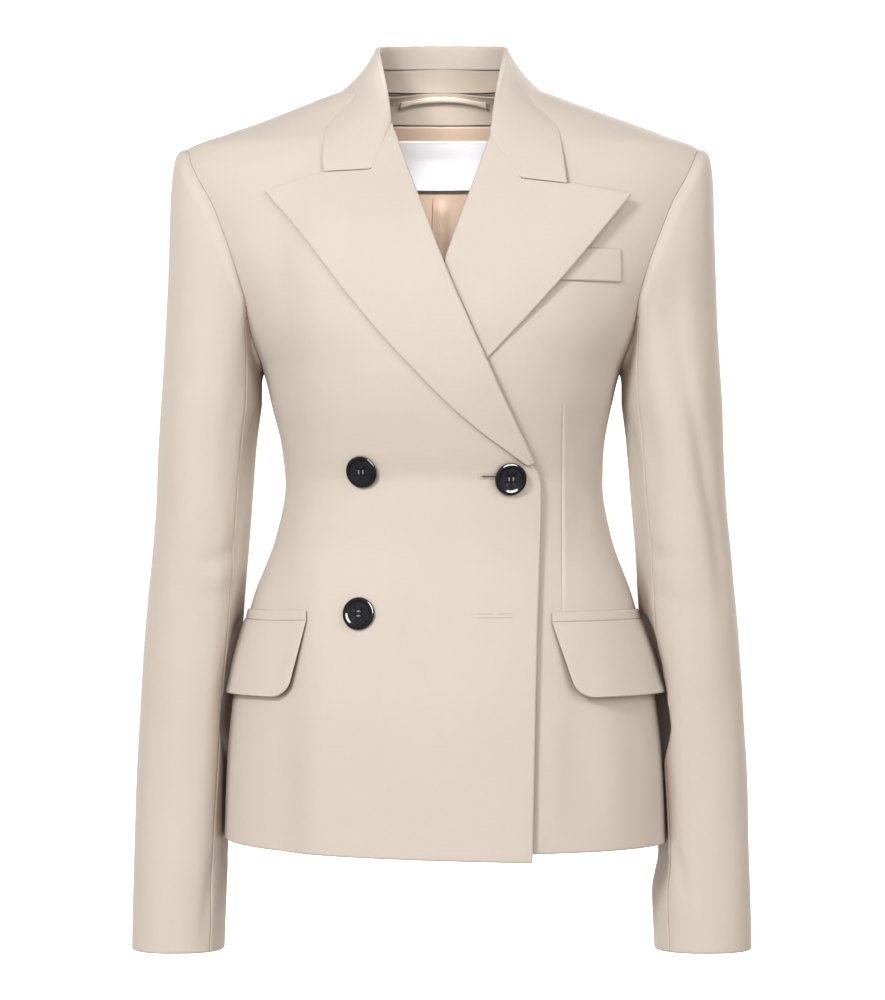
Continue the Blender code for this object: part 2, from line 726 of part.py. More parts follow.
def pleat(turn, z):
    """How deep the lining's centre pleat stands into the body."""
    across = BODY.at(z)["half"] * math.sin(math.radians(turn))
    along = ramp(PLEAT_TOP - z, 0, 12) * ramp(z, PLEAT_END, -150)
    return PLEAT_DEEP * ramp(PLEAT_WIDE - abs(across), 0, PLEAT_WIDE) * along


def lining_depth(turn, z):
    loose = max(ramp(-z, 20, 140), ramp(abs(turn), 25, 65))
    return LINING_DEPTH + LINING_LOOSE * loose + pleat(turn, z)


def make_lining():
    cells = []
    for i, (turn, z_edge) in enumerate(path(LINING_EDGE, LINING_ROWS, LINING_CROWDING)):
        share = 1 - (1 - i / LINING_ROWS) ** LINING_CROWDING
        z_centre = mix(LINING_HEM, FACING_BOTTOM["centre"] - 1.0, share)
        cells.append([(turn * share, mix(z_centre, z_edge - 1.0, share * share)) for share in LINING_SHARES])
    layer("back_lining", cells, lining_depth, LINING, LINING_MATERIAL)


def back_turn(x, z):
    """The turn from the centre back at a distance from the middle."""
    turn = turn_at(x, z, behind=True)
    return 180 - turn if turn > 0 else -180 - turn


def make_label():
    cells = []
    for z in (LABEL["bottom"], mix(LABEL["bottom"], LABEL["top"], 0.5), LABEL["top"]):
        row = []
        for k in range(LABEL_COLUMNS + 1):
            row.append((back_turn(mix(LABEL["left"], LABEL["right"], k / LABEL_COLUMNS), z), z))
        cells.append(row)
    lay = LINING + LABEL["lay"]
    layer("label", cells, lambda turn, z: lining_depth(turn, z) + lay, LABEL["thickness"], LABEL_MATERIAL)


def make_hanger_loop():
    outer, inner = [], []
    for low in (-0.5, 0.5):
        rows = ([], [])
        for k in range(LOOP_COLUMNS + 1):
            arch = math.sin(math.pi * k / LOOP_COLUMNS)
            x = mix(LOOP["left"], LOOP["right"], k / LOOP_COLUMNS)
            z = LOOP["foot"] + LOOP["rise"] * arch + low * LOOP["tall"]
            turn = back_turn(x, z)
            depth = facing_depth(turn, z) + FACING_THICKNESS + LAY
            for row, extra in zip(rows, (0.0, LOOP["thickness"])):
                row.append(on_back(turn, z, depth + LOOP["proud"] * arch**0.5 + extra))
        outer.append(rows[0])
        inner.append(rows[1])
    wall("hanger_loop", outer, inner, CLOTH_MATERIAL)


# Pockets


def flap_inner_edge(side, v):
    """How far from the middle the flap's inner end is, v from its top to its bottom, with a round corner."""
    top, bottom = FLAP_INNER[side]
    round_share = FLAP_CORNER / (FLAP_TOP - FLAP_BOTTOM)
    t = max(v - (1 - round_share), 0.0) / round_share
    return mix(top, bottom, v) + FLAP_CORNER * (1 - math.sqrt(1 - min(t, 1.0) ** 2))


def pocket_cells(side, rows, columns, inner_edge, outer_turn):
    """Rows of turns and heights from the inner end of a pocket's piece round to the side."""
    cells = []
    for z, v in rows:
        start = abs(turn_at(SIGN[side] * inner_edge(v), z))
        cells.append([(SIGN[side] * mix(start, outer_turn, k / columns), z) for k in range(columns + 1)])
    return cells


def make_flap(side):
    rows = [(mix(FLAP_TOP, FLAP_BOTTOM, v), v) for v in FLAP_SHARES]
    cells = pocket_cells(side, rows, FLAP_COLUMNS, lambda v: flap_inner_edge(side, v), FLAP_OUTER_TURN)
    outer, inner = [], []
    for row, v in zip(cells, FLAP_SHARES):
        lifts = [mix(FLAP_LIFT["inner"], FLAP_LIFT["outer"], k / FLAP_COLUMNS) for k in range(len(row))]
        heights = [TRIM_LAY + CLOTH + FLAP_STANDS_OFF[side] * v * lift for lift in lifts]
        outer.append([on_body(side, turn, z, height) for (turn, z), height in zip(row, heights)])
        inner.append([on_body(side, turn, z, height - CLOTH) for (turn, z), height in zip(row, heights)])
    wall(f"{side}_pocket_flap", outer, inner, CLOTH_MATERIAL)


def make_jet(side):
    top = FLAP_INNER[side][0]
    rows = [(JET["bottom"], 0), (JET["top"], 0)]
    cells = pocket_cells(side, rows, FLAP_COLUMNS, lambda v: top, FLAP_OUTER_TURN)
    thickness = JET["thickness"]
    body_wall(f"{side}_pocket_jet", side, cells, CLOTH_MATERIAL, (), -TRIM_LAY - thickness, thickness)


def make_welt():
    rows = []
    for z, inner_end in ((WELT["bottom"], WELT["inner_bottom"]), (WELT["top"], WELT["inner_top"])):
        spots = [mix(inner_end, WELT["outer"], k / WELT_COLUMNS) for k in range(WELT_COLUMNS + 1)]
        rows.append([(turn_at(x, z), z) for x in spots])
    body_wall("breast_welt", "left", rows, CLOTH_MATERIAL, (), -TRIM_LAY - CLOTH, CLOTH)


# Buttons


def make_button(name, across, z, lay):
    mesh = bpy.data.meshes.new(name)
    points = [(radius * MM, 0, height * MM) for radius, height in BUTTON_PROFILE]
    mesh.from_pydata(points, [(k, k + 1) for k in range(len(points) - 1)], [])
    button = add(name, mesh, BUTTON_MATERIAL)
    turn = button.modifiers.new("Turn", "SCREW")
    turn.steps = turn.render_steps = BUTTON_SIDES
    turn.use_merge_vertices = True
    turn.merge_threshold = 0.00005
    turn.use_smooth_shade = True
    rim = []
    for k in range(12):
        angle = math.radians(30 * k)
        c, s = BUTTON_RADIUS * math.cos(angle), BUTTON_RADIUS * math.sin(angle)
        rim.append(on_front("right", across + c, z + s))
    out = (rim[3] - rim[9]).cross(rim[0] - rim[6]).normalized()
    base = on_front("right", across, z)
    lift = max(0.0, *((point - base).dot(out) for point in rim))
    button.location = (base + (lift + lay) * out) * MM
    button.rotation_euler = out.to_track_quat("Z", "Y").to_euler()


def clear_scene():
    for old in list(bpy.data.objects):
        bpy.data.objects.remove(old)


clear_scene()
PARTS = bpy.data.collections.new(NAME)
bpy.context.scene.collection.children.link(PARTS)
CLOTH_MATERIAL = make_material("suiting", (0.76, 0.68, 0.60), 0.85)
LINING_MATERIAL = make_material("satin_lining", (0.80, 0.56, 0.40), 0.35)
LABEL_MATERIAL = make_material("woven_label", (0.90, 0.90, 0.90), 0.6)
BUTTON_MATERIAL = make_material("button_resin", (0.01, 0.01, 0.012), 0.25)
for each_side in SIGN:
    make_front(each_side)
    make_back(each_side)
    make_sleeve(each_side)
    make_lapel(each_side)
    make_jet(each_side)
    make_flap(each_side)
make_collar()
make_stand()
make_facing()
make_lining()
make_label()
make_hanger_loop()
make_welt()
for button_name, place in BUTTONS.items():
    make_button(button_name, *place)
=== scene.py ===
"""The looks of a double breasted blazer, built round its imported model.

Each piece of cloth is a thin closed shell on the form of the solid that it replaces, with its folds, seams
and stitches. Lengths are in millimetres until a mesh is made, as in the part's own source, and the wearer's
left is +X.
"""

import math

import bpy
import numpy as np
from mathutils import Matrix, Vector


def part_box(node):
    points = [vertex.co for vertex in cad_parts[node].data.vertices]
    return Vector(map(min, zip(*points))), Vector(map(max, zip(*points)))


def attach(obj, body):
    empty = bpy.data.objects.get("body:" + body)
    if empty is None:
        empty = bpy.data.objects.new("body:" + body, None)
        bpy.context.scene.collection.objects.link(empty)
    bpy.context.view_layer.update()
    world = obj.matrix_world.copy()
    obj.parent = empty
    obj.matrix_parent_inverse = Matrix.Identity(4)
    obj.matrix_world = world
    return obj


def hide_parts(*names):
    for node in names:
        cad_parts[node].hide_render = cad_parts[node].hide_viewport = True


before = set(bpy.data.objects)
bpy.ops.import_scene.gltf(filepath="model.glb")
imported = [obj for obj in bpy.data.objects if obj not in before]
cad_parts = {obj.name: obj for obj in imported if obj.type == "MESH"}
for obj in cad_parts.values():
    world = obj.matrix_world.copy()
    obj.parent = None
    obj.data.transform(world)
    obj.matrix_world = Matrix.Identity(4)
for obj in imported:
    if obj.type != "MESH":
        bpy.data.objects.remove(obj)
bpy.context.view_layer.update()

MM = 0.001

# Cloth
CLOTH = 1.8
LINING = 1.0
SEAM = 0.32
SEWN = 0.06  # half the air that shows between two pieces sewn together
LAY = 0.8
# The right front stands off over the left one: how high, and over which places across and down it rises
OVERLAP_LIFT, OVERLAP_ACROSS, OVERLAP_DOWN = 7.0, (-130, -88), (60, 115)

# How uneven each cloth lies: how high, the seed of its draws, and how long its waves are both ways
UNEVEN = {
    "body": (0.34, 3, 60, 190),
    "seam": (0.07, 0, 26, 31),
    "sleeve": (0.36, 5, 40, 150),
    "lapel": (0.25, 11, 70, 90),
    "collar": (0.2, 21, 60, 60),
    "lining": (0.5, 31, 24, 160),
    "label": (0.18, 41, 70, 60),
    "flap": (0.3, 51, 60, 50),
}
WAVES, WAVE_LENGTHS, WAVE_EVENS = 7, (0.6, 1.5), 1.4

# Body form: a section for each height, square-ish ovals from the side seams
SQUARE = 2.4
BODY_SECTIONS = np.array(
    [
        (-606, 3.0, 177.0, 121, 108),
        (-530, 2.5, 174.0, 120, 112),
        (-486, 2.0, 169.5, 119, 113),
        (-450, 1.5, 164.0, 116, 108),
        (-402, 1.0, 152.0, 110, 98),
        (-350, 1.5, 133.5, 104, 84),
        (-310, 2.0, 126.5, 104, 80),
        (-282, 1.0, 128.5, 112, 86),
        (-246, 0.0, 136.0, 122, 95),
        (-222, 0.0, 142.0, 126, 100),
        (-193, 0.0, 158.0, 127, 104),
        (-165, 0.0, 173.0, 124, 106),
        (-136, 0.0, 188.0, 117, 106),
        (-97, 0.0, 203.0, 102, 102),
        (-60, 0.0, 214.0, 84, 93),
        (-42, 1.0, 203.5, 74, 86),
        (-31, 2.0, 174.8, 66, 80),
        (-20, 2.2, 144.6, 58, 75),
        (-10, 1.0, 117.6, 52, 72),
        (0, 0.0, 91.4, 46, 70),
        (8, 0.0, 68.0, 42, 68),
        (14, 0.0, 50.0, 40, 66),
    ]
)

# Cut lines of the fronts: distance from the middle towards the piece's own side, and height
NECK_POINT = (68, 8)
UNDERARM_Z = -222.0
CENTRE_BACK = {"hem": -594, "neck": 10}
SIDE_HEM = {"right": -590.5, "left": -594.5}
FRONT_EDGE = {
    "right": ((-68, -601), (-71, -452), (-74, -314), (-72, -301), (-66, -292)),
    "left": ((-66, -595), (-67, -452), (-66, -318), (-60, -303), (-52, -295)),
}
ROLL_LINE = {
    "right": ((-66, -292), (-30.6, -214), (1.7, -139.5), (21.7, -83.5), (39.8, -29.5)),
    "left": ((-52, -295), (-23, -215), (3.7, -140), (24.6, -81.6), (38.6, -41)),
}
NECKLINE = {
    "right": ((39.8, -29.5), (46, -14), (57, -1), (64, 4.5), NECK_POINT),
    "left": ((38.6, -41), (47, -16), (57, -1), (64, 4.5), NECK_POINT),
}
# Armholes: turn round the body from its front or its back, and height, from the underarm up
ARMHOLE = {
    "front": (
        (90, -222), (80, -215), (70.7, -189), (62.5, -161), (60, -130),
        (61.4, -92), (66.5, -61), (77, -46), (90, -42),
    ),
    "back": (
        (90, -222), (80, -214), (70, -187), (64.5, -157), (62, -122),
        (63.5, -89), (69, -60), (78, -46), (90, -42),
    ),
}
EDGE_ROWS, ROLL_ROWS, NECK_ROWS = 9, 7, 4
SIDE_ROWS, ARMHOLE_ROWS = 12, 8
ALL_ROWS = SIDE_ROWS + ARMHOLE_ROWS
BACK_COLUMNS = (6, 12)
BACK_CROWDING = 1.5

# Lapels: outer edge from the break up to the tip, and top edge from the gorge out to the tip
LAPEL_EDGE = {
    "right": (
        (-63, -293.5), (-31, -269.3), (-1, -243.2), (43.7, -196.8),
        (70, -165.2), (108.6, -115.7), (136.9, -82.5),
    ),
    "left": ((-44, -293), (-8, -256), (33.2, -214.8), (91.3, -150.7), (143.5, -86.4)),
}
GORGE_TURN = {"right": (54.9, -66.2), "left": (61.5, -73.9)}
NOTCH = {"right": (90.9, -68.5), "left": (96.0, -78.7)}
LAPEL_PROUD = {"right": 1.0, "left": 8.0}
LAPEL_PROUD_RISES = (-215, -105)
LAPEL_STEPS = 6  # columns of the solid's lapel, whose second and fourth are the gorge's turn and the notch
GORGE_U, NOTCH_U = 1 / 3, 2 / 3  # those two, as shares of the way from the roll out to the tip
ROLL_TOP = 3.2
LOOP_STEPS = 4
LOOP_ANGLES = np.linspace(180, 0, 15)[:-1]
NOTCH_OPEN = 0.45  # how far the lapel and the collar each stand back from the slit of the notch
NOTCH_DROP, NOTCH_WIDE = 0.7, 0.7
GORGE_SEWN = -0.1  # the two just touch along the gorge

# Collar: its fold, its outer edge and how hollow it is between them, at stations from the gorge (0) round
# to the centre back
COLLAR_STATIONS = np.array(
    [
        (3, 41.0, -62, -8, 94.0, -78, -50, 0.0),
        (5, 45.5, -42, 13, 92.5, -60, -29, 2.0),
        (8, 52.5, -2, 38, 84.0, -4, 6, 5.0),
        (12, 51.5, 29, 44, 78.0, 38, 3.5, 2.0),
        (16, 32.0, 57, 47.2, 44.0, 72.5, -1, 0.0),
        (20, 0.0, 67.5, 49, 0.0, 76, -1, 0.0),
        (24, -32.0, 57, 47.2, -44.0, 72.5, -1, 0.0),
    ]
)
CENTRE_STATION = 20
FALL_COLUMNS = 4
FOLD_RADIUS = 2.5
FOLD_DROP = 17.0
FOLD_START, FOLD_STEP = 150, 50  # degrees round the fold
FALL_CLEAR = LAY + CLOTH + 1.0
REST_SOFT, REST_FADES = 3.0, 14.0
COLLAR_ROUNDS = 70
STAND_FROM = 4

# What shows inside the neck
FACING_THICKNESS = 1.2
FACING_DEPTH = CLOTH + 0.3
FACING_BOTTOM = {"centre": -15.0, "end": -5.0}
FACING_TURN = 75
FACING_END_DEPTH = 2.6
FACING_OVER_SEAM = 0.8
LINING_DEPTH = CLOTH + 1.5
LINING_LOOSE = 4.5
LINING_HEM = -572.0
LINING_EDGE = (
    (85, LINING_HEM), (85, -240), (74, -214), (64, -187), (58, -157), (55, -122),
    (54, -95), (55, -75), (57, -52), (61, -31), (66, -12),
)
LINING_CROWDING = 1.4
PLEAT_DEEP, PLEAT_WIDE, PLEAT_TOP, PLEAT_END = 5.0, 9.0, -72, -330
PLEAT_EDGE = {"x": -7.2, "bottom": -160.0, "sway": 0.8}
LABEL = {"left": -40.0, "right": 40.0, "top": -26.0, "bottom": -66.0, "thickness": 0.8, "lay": 1.5}
LOOP = {"left": -37.0, "right": 40.0, "foot": 2.8, "rise": 3.6, "tall": 4.2, "thickness": 1.2, "proud": 2.5}
LOOP_END_TALL = 7.0
LOOP_PUFF = 0.35  # how much rounder its middle stands than its edges

# Pockets
FLAP_TOP, FLAP_BOTTOM = -417.4, -476.0
FLAP_INNER = {"right": (102.0, 117.0), "left": (85.5, 103.0)}
FLAP_CORNER = 12.0
FLAP_OUTER_TURN = 91.5
FLAP_LIFT = (0.85, 0.9)
FLAP_STANDS_OFF = {"right": 5.0, "left": 8.0}
JET = {"top": -409.5, "bottom": -416.6, "thickness": 1.2}
WELT = {"top": -128.0, "bottom": -152.5, "outer": 138.6, "inner_top": 100.0, "inner_bottom": 84.0}
TRIM_LAY = 0.6
SLIT_HIGH, SLIT_DEPTH = 1.0, 0.5  # how high a pocket's line of painted shade lies over the body, and how deep the notch's lies in the lapel

# Buttons: across towards the wearer's right, and height
BUTTONS = {"fastened_button": (-50.3, -304.7), "upper_button": (58.5, -298.1), "lower_button": (61.9, -411.1)}
BUTTON_RADIUS = 12.7
# A button's outline from the middle of its face over its rim to the middle of its underside
BUTTON_FACE = 2.05
BUTTON_PROFILE = np.array(
    [
        (3.4, 2.05), (5.6, 2.07), (7.6, 2.1), (8.4, 2.17), (8.8, 2.31), (9.2, 2.53), (9.6, 2.78),
        (10.0, 2.96), (10.4, 3.07), (10.75, 3.1), (11.1, 3.05), (11.5, 2.93), (11.9, 2.74), (12.2, 2.53),
        (12.45, 2.2), (12.65, 1.8), (12.6, 1.4), (12.2, 0.9), (11.4, 0.35), (10.2, 0.05), (7.0, 0.0),
    ]
)
BUTTON_SIDES = 72
BUTTON_HALF = 2.0  # half its thickness
HOLE_RADIUS, HOLE_EDGE, HOLE_DEPTH, HOLE_OFF = 1.15, 0.35, 1.5, 1.75
POLISHED = {"from": 8.6, "to": 12.3, "above": 2.2}
THREAD_OFFS = (-0.5, -0.17, 0.17, 0.5)
SHANK = {"threads": 10, "radius": 1.3, "from": -1.6, "to": 0.3}

# Sleeves, from the cuff up: middle and half sizes across and front to back
SLEEVE_SECTIONS = np.array(
    [
        (-680.5, 211.0, 6, 37.0, 45.0),
        (-620, 209.5, 10, 37.5, 46.5),
        (-560, 207.5, 14, 38.0, 48.5),
        (-500, 204.0, 15, 38.5, 51.0),
        (-440, 199.5, 13, 39.0, 54.0),
        (-378, 194.5, 9, 38.5, 56.0),
        (-330, 190.5, 6, 38.2, 58.0),
        (-282, 187.4, 4, 39.0, 60.0),
        (-246, 184.2, 2, 40.2, 61.0),
    ]
)
SLEEVE_SQUARE = 2.3
SLEEVE_CLEARANCE = 2.0
SLEEVE_CLOSES_IN = 14.0
CUFF_FROM = (605, 640)  # how far down it closes in and widens
PAST_FLAP = ((-535, -500), (405, 430), (-50, -20))  # where it passes the flap: from below, above and behind
CUFF_WIDER = {"right": 0.0, "left": 2.0}
TURNED_IN = (2.6, 1.6, 0.8, 0.3)  # how deep the rows of the sleeve's head lie that turn in at the armhole
# The curve of a cap: how far it leaves the armhole outwards and up, at the underarm and at the top, and how
# it comes to the first oval
CAP_BULGE, CAP_LIFT = (1.5, 19.0), (-4, -1)
CAP_FLATTER, CAP_ROUND, CAP_RISE = 12.0, 7.0, 0.8
RING_POINTS = 2 * ARMHOLE_ROWS
FOREARM_SEAM = 2
HINDARM_SEAM = 11
SLEEVE_COLUMNS = 104
SEAM_COLUMNS = np.array((-0.14, -0.08, -0.04, -0.016, 0, 0.016, 0.04, 0.08, 0.14))  # beside each seam
SEAM_APART = 0.17  # how far the other columns stay from it
CAP_SHARES = np.concatenate([[0.0, 0.004, 0.01, 0.02], np.linspace(0.035, 1, 38) ** 1.05])
ARM_ROWS = 110
CUFF_ROWS = np.array((2.4, 1.4, 0.75, 0.3, 0.0))
HEAD_ROLL = {"high": 0.9, "at": 10, "wide": 6}  # the fullness of the sleeve's head over its seam

SIGN = {"right": -1, "left": 1}

FOLD_SHARES, FOLD_FADES = (0.03, 0.97), 0.8  # how a fold fades out at its ends
# Turns beside the side seams and the centre back, and heights below the neck, over which the drape sets in
SIDE_CALM, CENTRE_CALM, NECK_CALM = (0, 12), (0, 6), (-8, 60)
# Folds: each a line of (across, height) points, how wide it is and how high it stands, under 0 for a trough.
# Those of the body are read at x and z from the front or from behind.
FRONT_FOLDS = (
    (((128, -236), (112, -262), (104, -292)), 9, -1.3),
    (((140, -214), (124, -244), (112, -276)), 7, 0.8),
    (((108, -420), (104, -500), (108, -585)), 15, -1.6),
    (((130, -480), (134, -540), (137, -600)), 12, 1.5),
    (((86, -470), (84, -540), (86, -600)), 10, 1.0),
    (((112, -300), (108, -340), (104, -380)), 9, -0.9),
    (((-124, -236), (-112, -268), (-108, -300)), 9, -1.1),
    (((-140, -224), (-122, -256), (-114, -290)), 7, 0.7),
    (((-120, -482), (-126, -540), (-130, -598)), 15, -1.4),
    (((-92, -470), (-96, -540), (-98, -600)), 13, 1.2),
    (((-60, -450), (-52, -520), (-50, -590)), 16, -0.9),
    (((-12, -470), (-8, -530), (-10, -600)), 18, 0.8),
    (((-104, -330), (-112, -370), (-124, -404)), 10, 0.9),
    (((-150, -100), (-128, -140), (-116, -190)), 12, -0.8),
    (((152, -100), (130, -140), (120, -190)), 12, -0.8),
)
BACK_FOLDS = (
    (((-60, -250), (-40, -285), (-12, -300)), 8, -1.7),
    (((62, -252), (44, -286), (14, -303)), 8, -1.5),
    (((-100, -270), (-84, -305), (-66, -330)), 9, 1.7),
    (((104, -268), (88, -302), (70, -326)), 9, 1.5),
    (((-120, -420), (-112, -500), (-114, -592)), 14, -2.4),
    (((122, -430), (116, -510), (118, -592)), 14, -2.2),
    (((-70, -430), (-60, -510), (-58, -592)), 16, 2.2),
    (((74, -420), (62, -510), (60, -592)), 16, 2.0),
    (((-30, -300), (-40, -335), (-66, -360)), 8, -1.4),
    (((34, -304), (44, -338), (68, -360)), 8, -1.2),
    (((-140, -90), (-118, -140), (-110, -190)), 12, -1.7),
    (((142, -92), (120, -140), (112, -188)), 12, -1.5),
)
# Those of a sleeve are read at places round its ring, 0 beside the body and 4 in front, times RING_STEP.
RING_STEP = 18.0
SLEEVE_FOLDS = {
    "right": (
        (((2.6, -215), (2.9, -280), (2.4, -345)), 9, -1.3),
        (((4.8, -250), (4.4, -330), (3.9, -400)), 12, 1.0),
        (((1.4, -352), (2.6, -366), (4.0, -372)), 6, -1.4),
        (((1.6, -392), (2.8, -400), (3.8, -398)), 6, -1.0),
        (((1.2, -372), (2.4, -383), (3.6, -386)), 6, 1.0),
        (((3.1, -440), (2.9, -540), (2.7, -650)), 10, 1.0),
        (((5.6, -400), (5.2, -520), (5.3, -640)), 14, -0.9),
        (((1.9, -600), (2.3, -640), (2.6, -676)), 6, -1.5),
        (((1.1, -250), (1.0, -340), (1.0, -470), (1.1, -600)), 11, -3.4),
        (((2.7, -300), (2.8, -420), (2.7, -560)), 7, 0.9),
        (((0.2, -236), (0.9, -262), (1.5, -300)), 7, -2.4),
        (((9.0, -180), (8.6, -260), (8.8, -340)), 14, -1.0),
        (((10.4, -340), (10.8, -384), (10.2, -430)), 10, 1.3),
        (((11.8, -300), (12.4, -360), (12.0, -420)), 10, -1.2),
        (((13.0, -420), (12.8, -520), (13.1, -620)), 12, 1.0),
        (((9.2, -450), (9.6, -540), (9.4, -630)), 12, -1.0),
    ),
    "left": (
        (((4.6, -120), (4.3, -150), (4.15, -186), (4.5, -242), (5.1, -282), (5.7, -338), (5.9, -430)), 12, -4.8),
        (((6.0, -150), (5.9, -220), (6.4, -300), (6.9, -380)), 20, -3.0),
        (((3.3, -170), (3.4, -240), (4.0, -300), (4.7, -370)), 12, 1.2),
        (((1.1, -250), (1.0, -340), (1.0, -470), (1.1, -600)), 10, -2.6),
        (((0.2, -236), (0.9, -262), (1.5, -300)), 7, -2.0),
        (((3.8, -200), (4.2, -270), (4.4, -340)), 10, 1.1),
        (((2.5, -215), (2.6, -300), (2.2, -370)), 9, -1.1),
        (((1.5, -356), (2.7, -368), (3.8, -366)), 6, -1.2),
        (((1.4, -392), (2.6, -398), (3.7, -404)), 6, -0.9),
        (((3.3, -420), (3.0, -520), (2.9, -640)), 10, 1.1),
        (((5.2, -420), (5.0, -520), (5.2, -650)), 14, -0.9),
        (((2.1, -590), (2.7, -612), (3.2, -640)), 6, -1.7),
        (((9.0, -190), (8.7, -270), (8.9, -350)), 14, -1.0),
        (((10.6, -330), (10.9, -380), (10.3, -424)), 10, 1.3),
        (((12.0, -310), (12.5, -366), (12.1, -430)), 10, -1.1),
        (((13.1, -430), (12.8, -520), (13.0, -610)), 12, 1.0),
        (((9.4, -440), (9.7, -530), (9.4, -620)), 12, -1.0),
    ),
}

DART = {"x": 94.0, "top": -243.0, "bottom": -412.0}
DART_COLUMNS = np.array((-12, -8, -5, -3, 0, 3, 5, 8, 12)) / 1000
DART_GROOVE = {"deep": 0.95, "wide": 0.9}
DART_RIDGE = {"high": 0.35, "off": 3.5, "wide": 3.0}
DART_PUCKER = {"high": 0.5, "tall": 16, "wide": 7, "over": (-30, 10)}
DART_STARTS, DART_ENDS = (0, 20), (0, 14)
DART_ROUNDS, DART_SHARES = 20, (0.2, 0.8)

# Worked holes, on the right front: where each is, and how its stitches lie
BUTTONHOLE = {"z": -302.9, "inner": -44.0, "outer": -29.8, "pitch": 0.75, "slant": 0.1, "from": 0.45, "to": 2.1}
HOLE_BAR = {"half": 2.0, "from": 0.3, "to": 1.9, "stitches": 7}
HOLE_OUTLINE = {"half": 2.5, "end": 2.6, "off": 0.05}
HOLE_SLIT_OFF = 0.02
CLOSED_HOLE = {"rows": (-411.0, -414.0), "inner": -53.0, "outer": -27.0, "gap": (-43.5, -38.5), "pitch": 1.5}
# Other stitches: as shares of their pitch or of the hanger loop, or in millimetres
STAND_STITCHES = {"count": 44, "from": 0.12, "to": 0.72, "rise": 0.12, "above": 0.6, "below": 0.14}
LOOP_TACKS = {"ends": (0.012, 0.988), "apart": 0.008, "count": 5, "reach": 0.62}
LOOP_STITCHES = {"rows": (-0.4, 0.4), "from": 0.03, "to": 0.95, "pitch": 0.026, "long": 0.019, "rise": 0.12}
LABEL_STITCHES = {"in": 1.1, "pitch": 2.4, "long": 1.8}
THREAD_SIDES = 6


def cubic(keys, values):
    """A smooth curve through the values, with no overshoot."""
    keys, values = np.asarray(keys, float), np.asarray(values, float)
    steps = np.diff(values) / np.diff(keys)
    a, b = steps[:-1], steps[1:]
    both = np.where(a + b == 0, 1.0, a + b)
    inner = np.where(a * b <= 0, 0.0, 2 * a * b / both)
    slopes = np.concatenate([steps[:1], inner, steps[-1:]])

    def read(key):
        key = np.asarray(key, float)
        i = np.searchsorted(keys[1:-1], key)
        span = keys[i + 1] - keys[i]
        t = (key - keys[i]) / span
        start = (1 + 2 * t) * (1 - t) ** 2 * values[i] + t * (1 - t) ** 2 * span * slopes[i]
        return start + t * t * (3 - 2 * t) * values[i + 1] + t * t * (t - 1) * span * slopes[i + 1]

    return read


class Table:
    """Smooth curves through the columns of a table, over its first column."""

    def __init__(self, rows):
        self.low, self.high = rows[0, 0], rows[-1, 0]
        self.curves = [cubic(rows[:, 0], rows[:, n]) for n in range(1, rows.shape[1])]

    def at(self, key):
        key = np.clip(key, self.low, self.high)
        return [read(key) for read in self.curves]


def along_path(points, shares):
    """Points at shares of the length of a smooth line through the given ones."""
    points = np.asarray(points, float)
    keys = np.concatenate([[0.0], np.cumsum(np.linalg.norm(np.diff(points, axis=0), axis=1))])
    return np.stack([cubic(keys, points[:, n])(keys[-1] * shares) for n in range(points.shape[1])], -1)


def ramp(value, low, high):
    """From 0 at the low value to 1 at the high one, level at both ends."""
    t = np.clip((value - low) / (high - low), 0.0, 1.0)
    return t * t * (3 - 2 * t)


def mix(a, b, t):
    return a + (b - a) * t


def unit(vectors):
    return vectors / np.maximum(np.linalg.norm(vectors, axis=-1, keepdims=True), 1e-9)


BODY = Table(BODY_SECTIONS)
SLEEVE = Table(SLEEVE_SECTIONS)
COLLAR = Table(COLLAR_STATIONS)


# The body form


def form(turn, z):
    """The body form at turns in degrees, 0 in front and 90 on the wearer's left, and heights."""
    turn, z = np.broadcast_arrays(np.asarray(turn, float), np.asarray(z, float))
    mid, half, front, back = BODY.at(z)
    s, c = np.sin(np.radians(turn)), np.cos(np.radians(turn))
    depth = np.where(c >= 0, front, back)
    y = -np.copysign(depth * np.sqrt(np.maximum(0.0, 1 - np.abs(s) ** SQUARE)), c)
    return np.stack([mid + half * s, y, z], -1)


def outward(turn, z):
    """Which way the body form faces."""
    across = form(turn + 0.5, z) - form(turn - 0.5, z)
    up = form(turn, z + 0.5) - form(turn, z - 0.5)
    return unit(np.cross(across, up))


def turn_at(x, z, behind=False):
    """The turn of the body form's place at x, on its front or behind."""
    mid, half, _, _ = BODY.at(z)
    turn = np.degrees(np.arcsin(np.clip((x - mid) / half, -1.0, 1.0)))
    return np.copysign(180 - np.abs(turn), x) if behind else turn


def overlap(side, x, z):
    """How far a front stands off because the other front is under it."""
    if side == "left":
        return 0.0 * x
    return OVERLAP_LIFT * ramp(x, *OVERLAP_ACROSS) * ramp(-z, *OVERLAP_DOWN)


def folds(a, b, table):
    """How high the folds of a table stand at places (a, b), each fading out at its ends."""
    total = np.zeros(np.broadcast(a, b).shape)
    for line, wide, high in table:
        line = np.asarray(line, float)
        lengths = np.linalg.norm(np.diff(line, axis=0), axis=1)
        done, nearest, share = 0.0, np.full(total.shape, 1e9), np.zeros(total.shape)
        for p, q, length in zip(line, line[1:], lengths):
            d = q - p
            t = np.clip(((a - p[0]) * d[0] + (b - p[1]) * d[1]) / (d @ d), 0, 1)
            far = np.hypot(a - p[0] - t * d[0], b - p[1] - t * d[1])
            closer = far < nearest
            share = np.where(closer, (done + t * length) / lengths.sum(), share)
            nearest = np.where(closer, far, nearest)
            done += length
        fading = np.sin(math.pi * np.clip(share, *FOLD_SHARES)) ** FOLD_FADES
        total += high * np.exp(-((nearest / wide) ** 2)) * fading
    return total


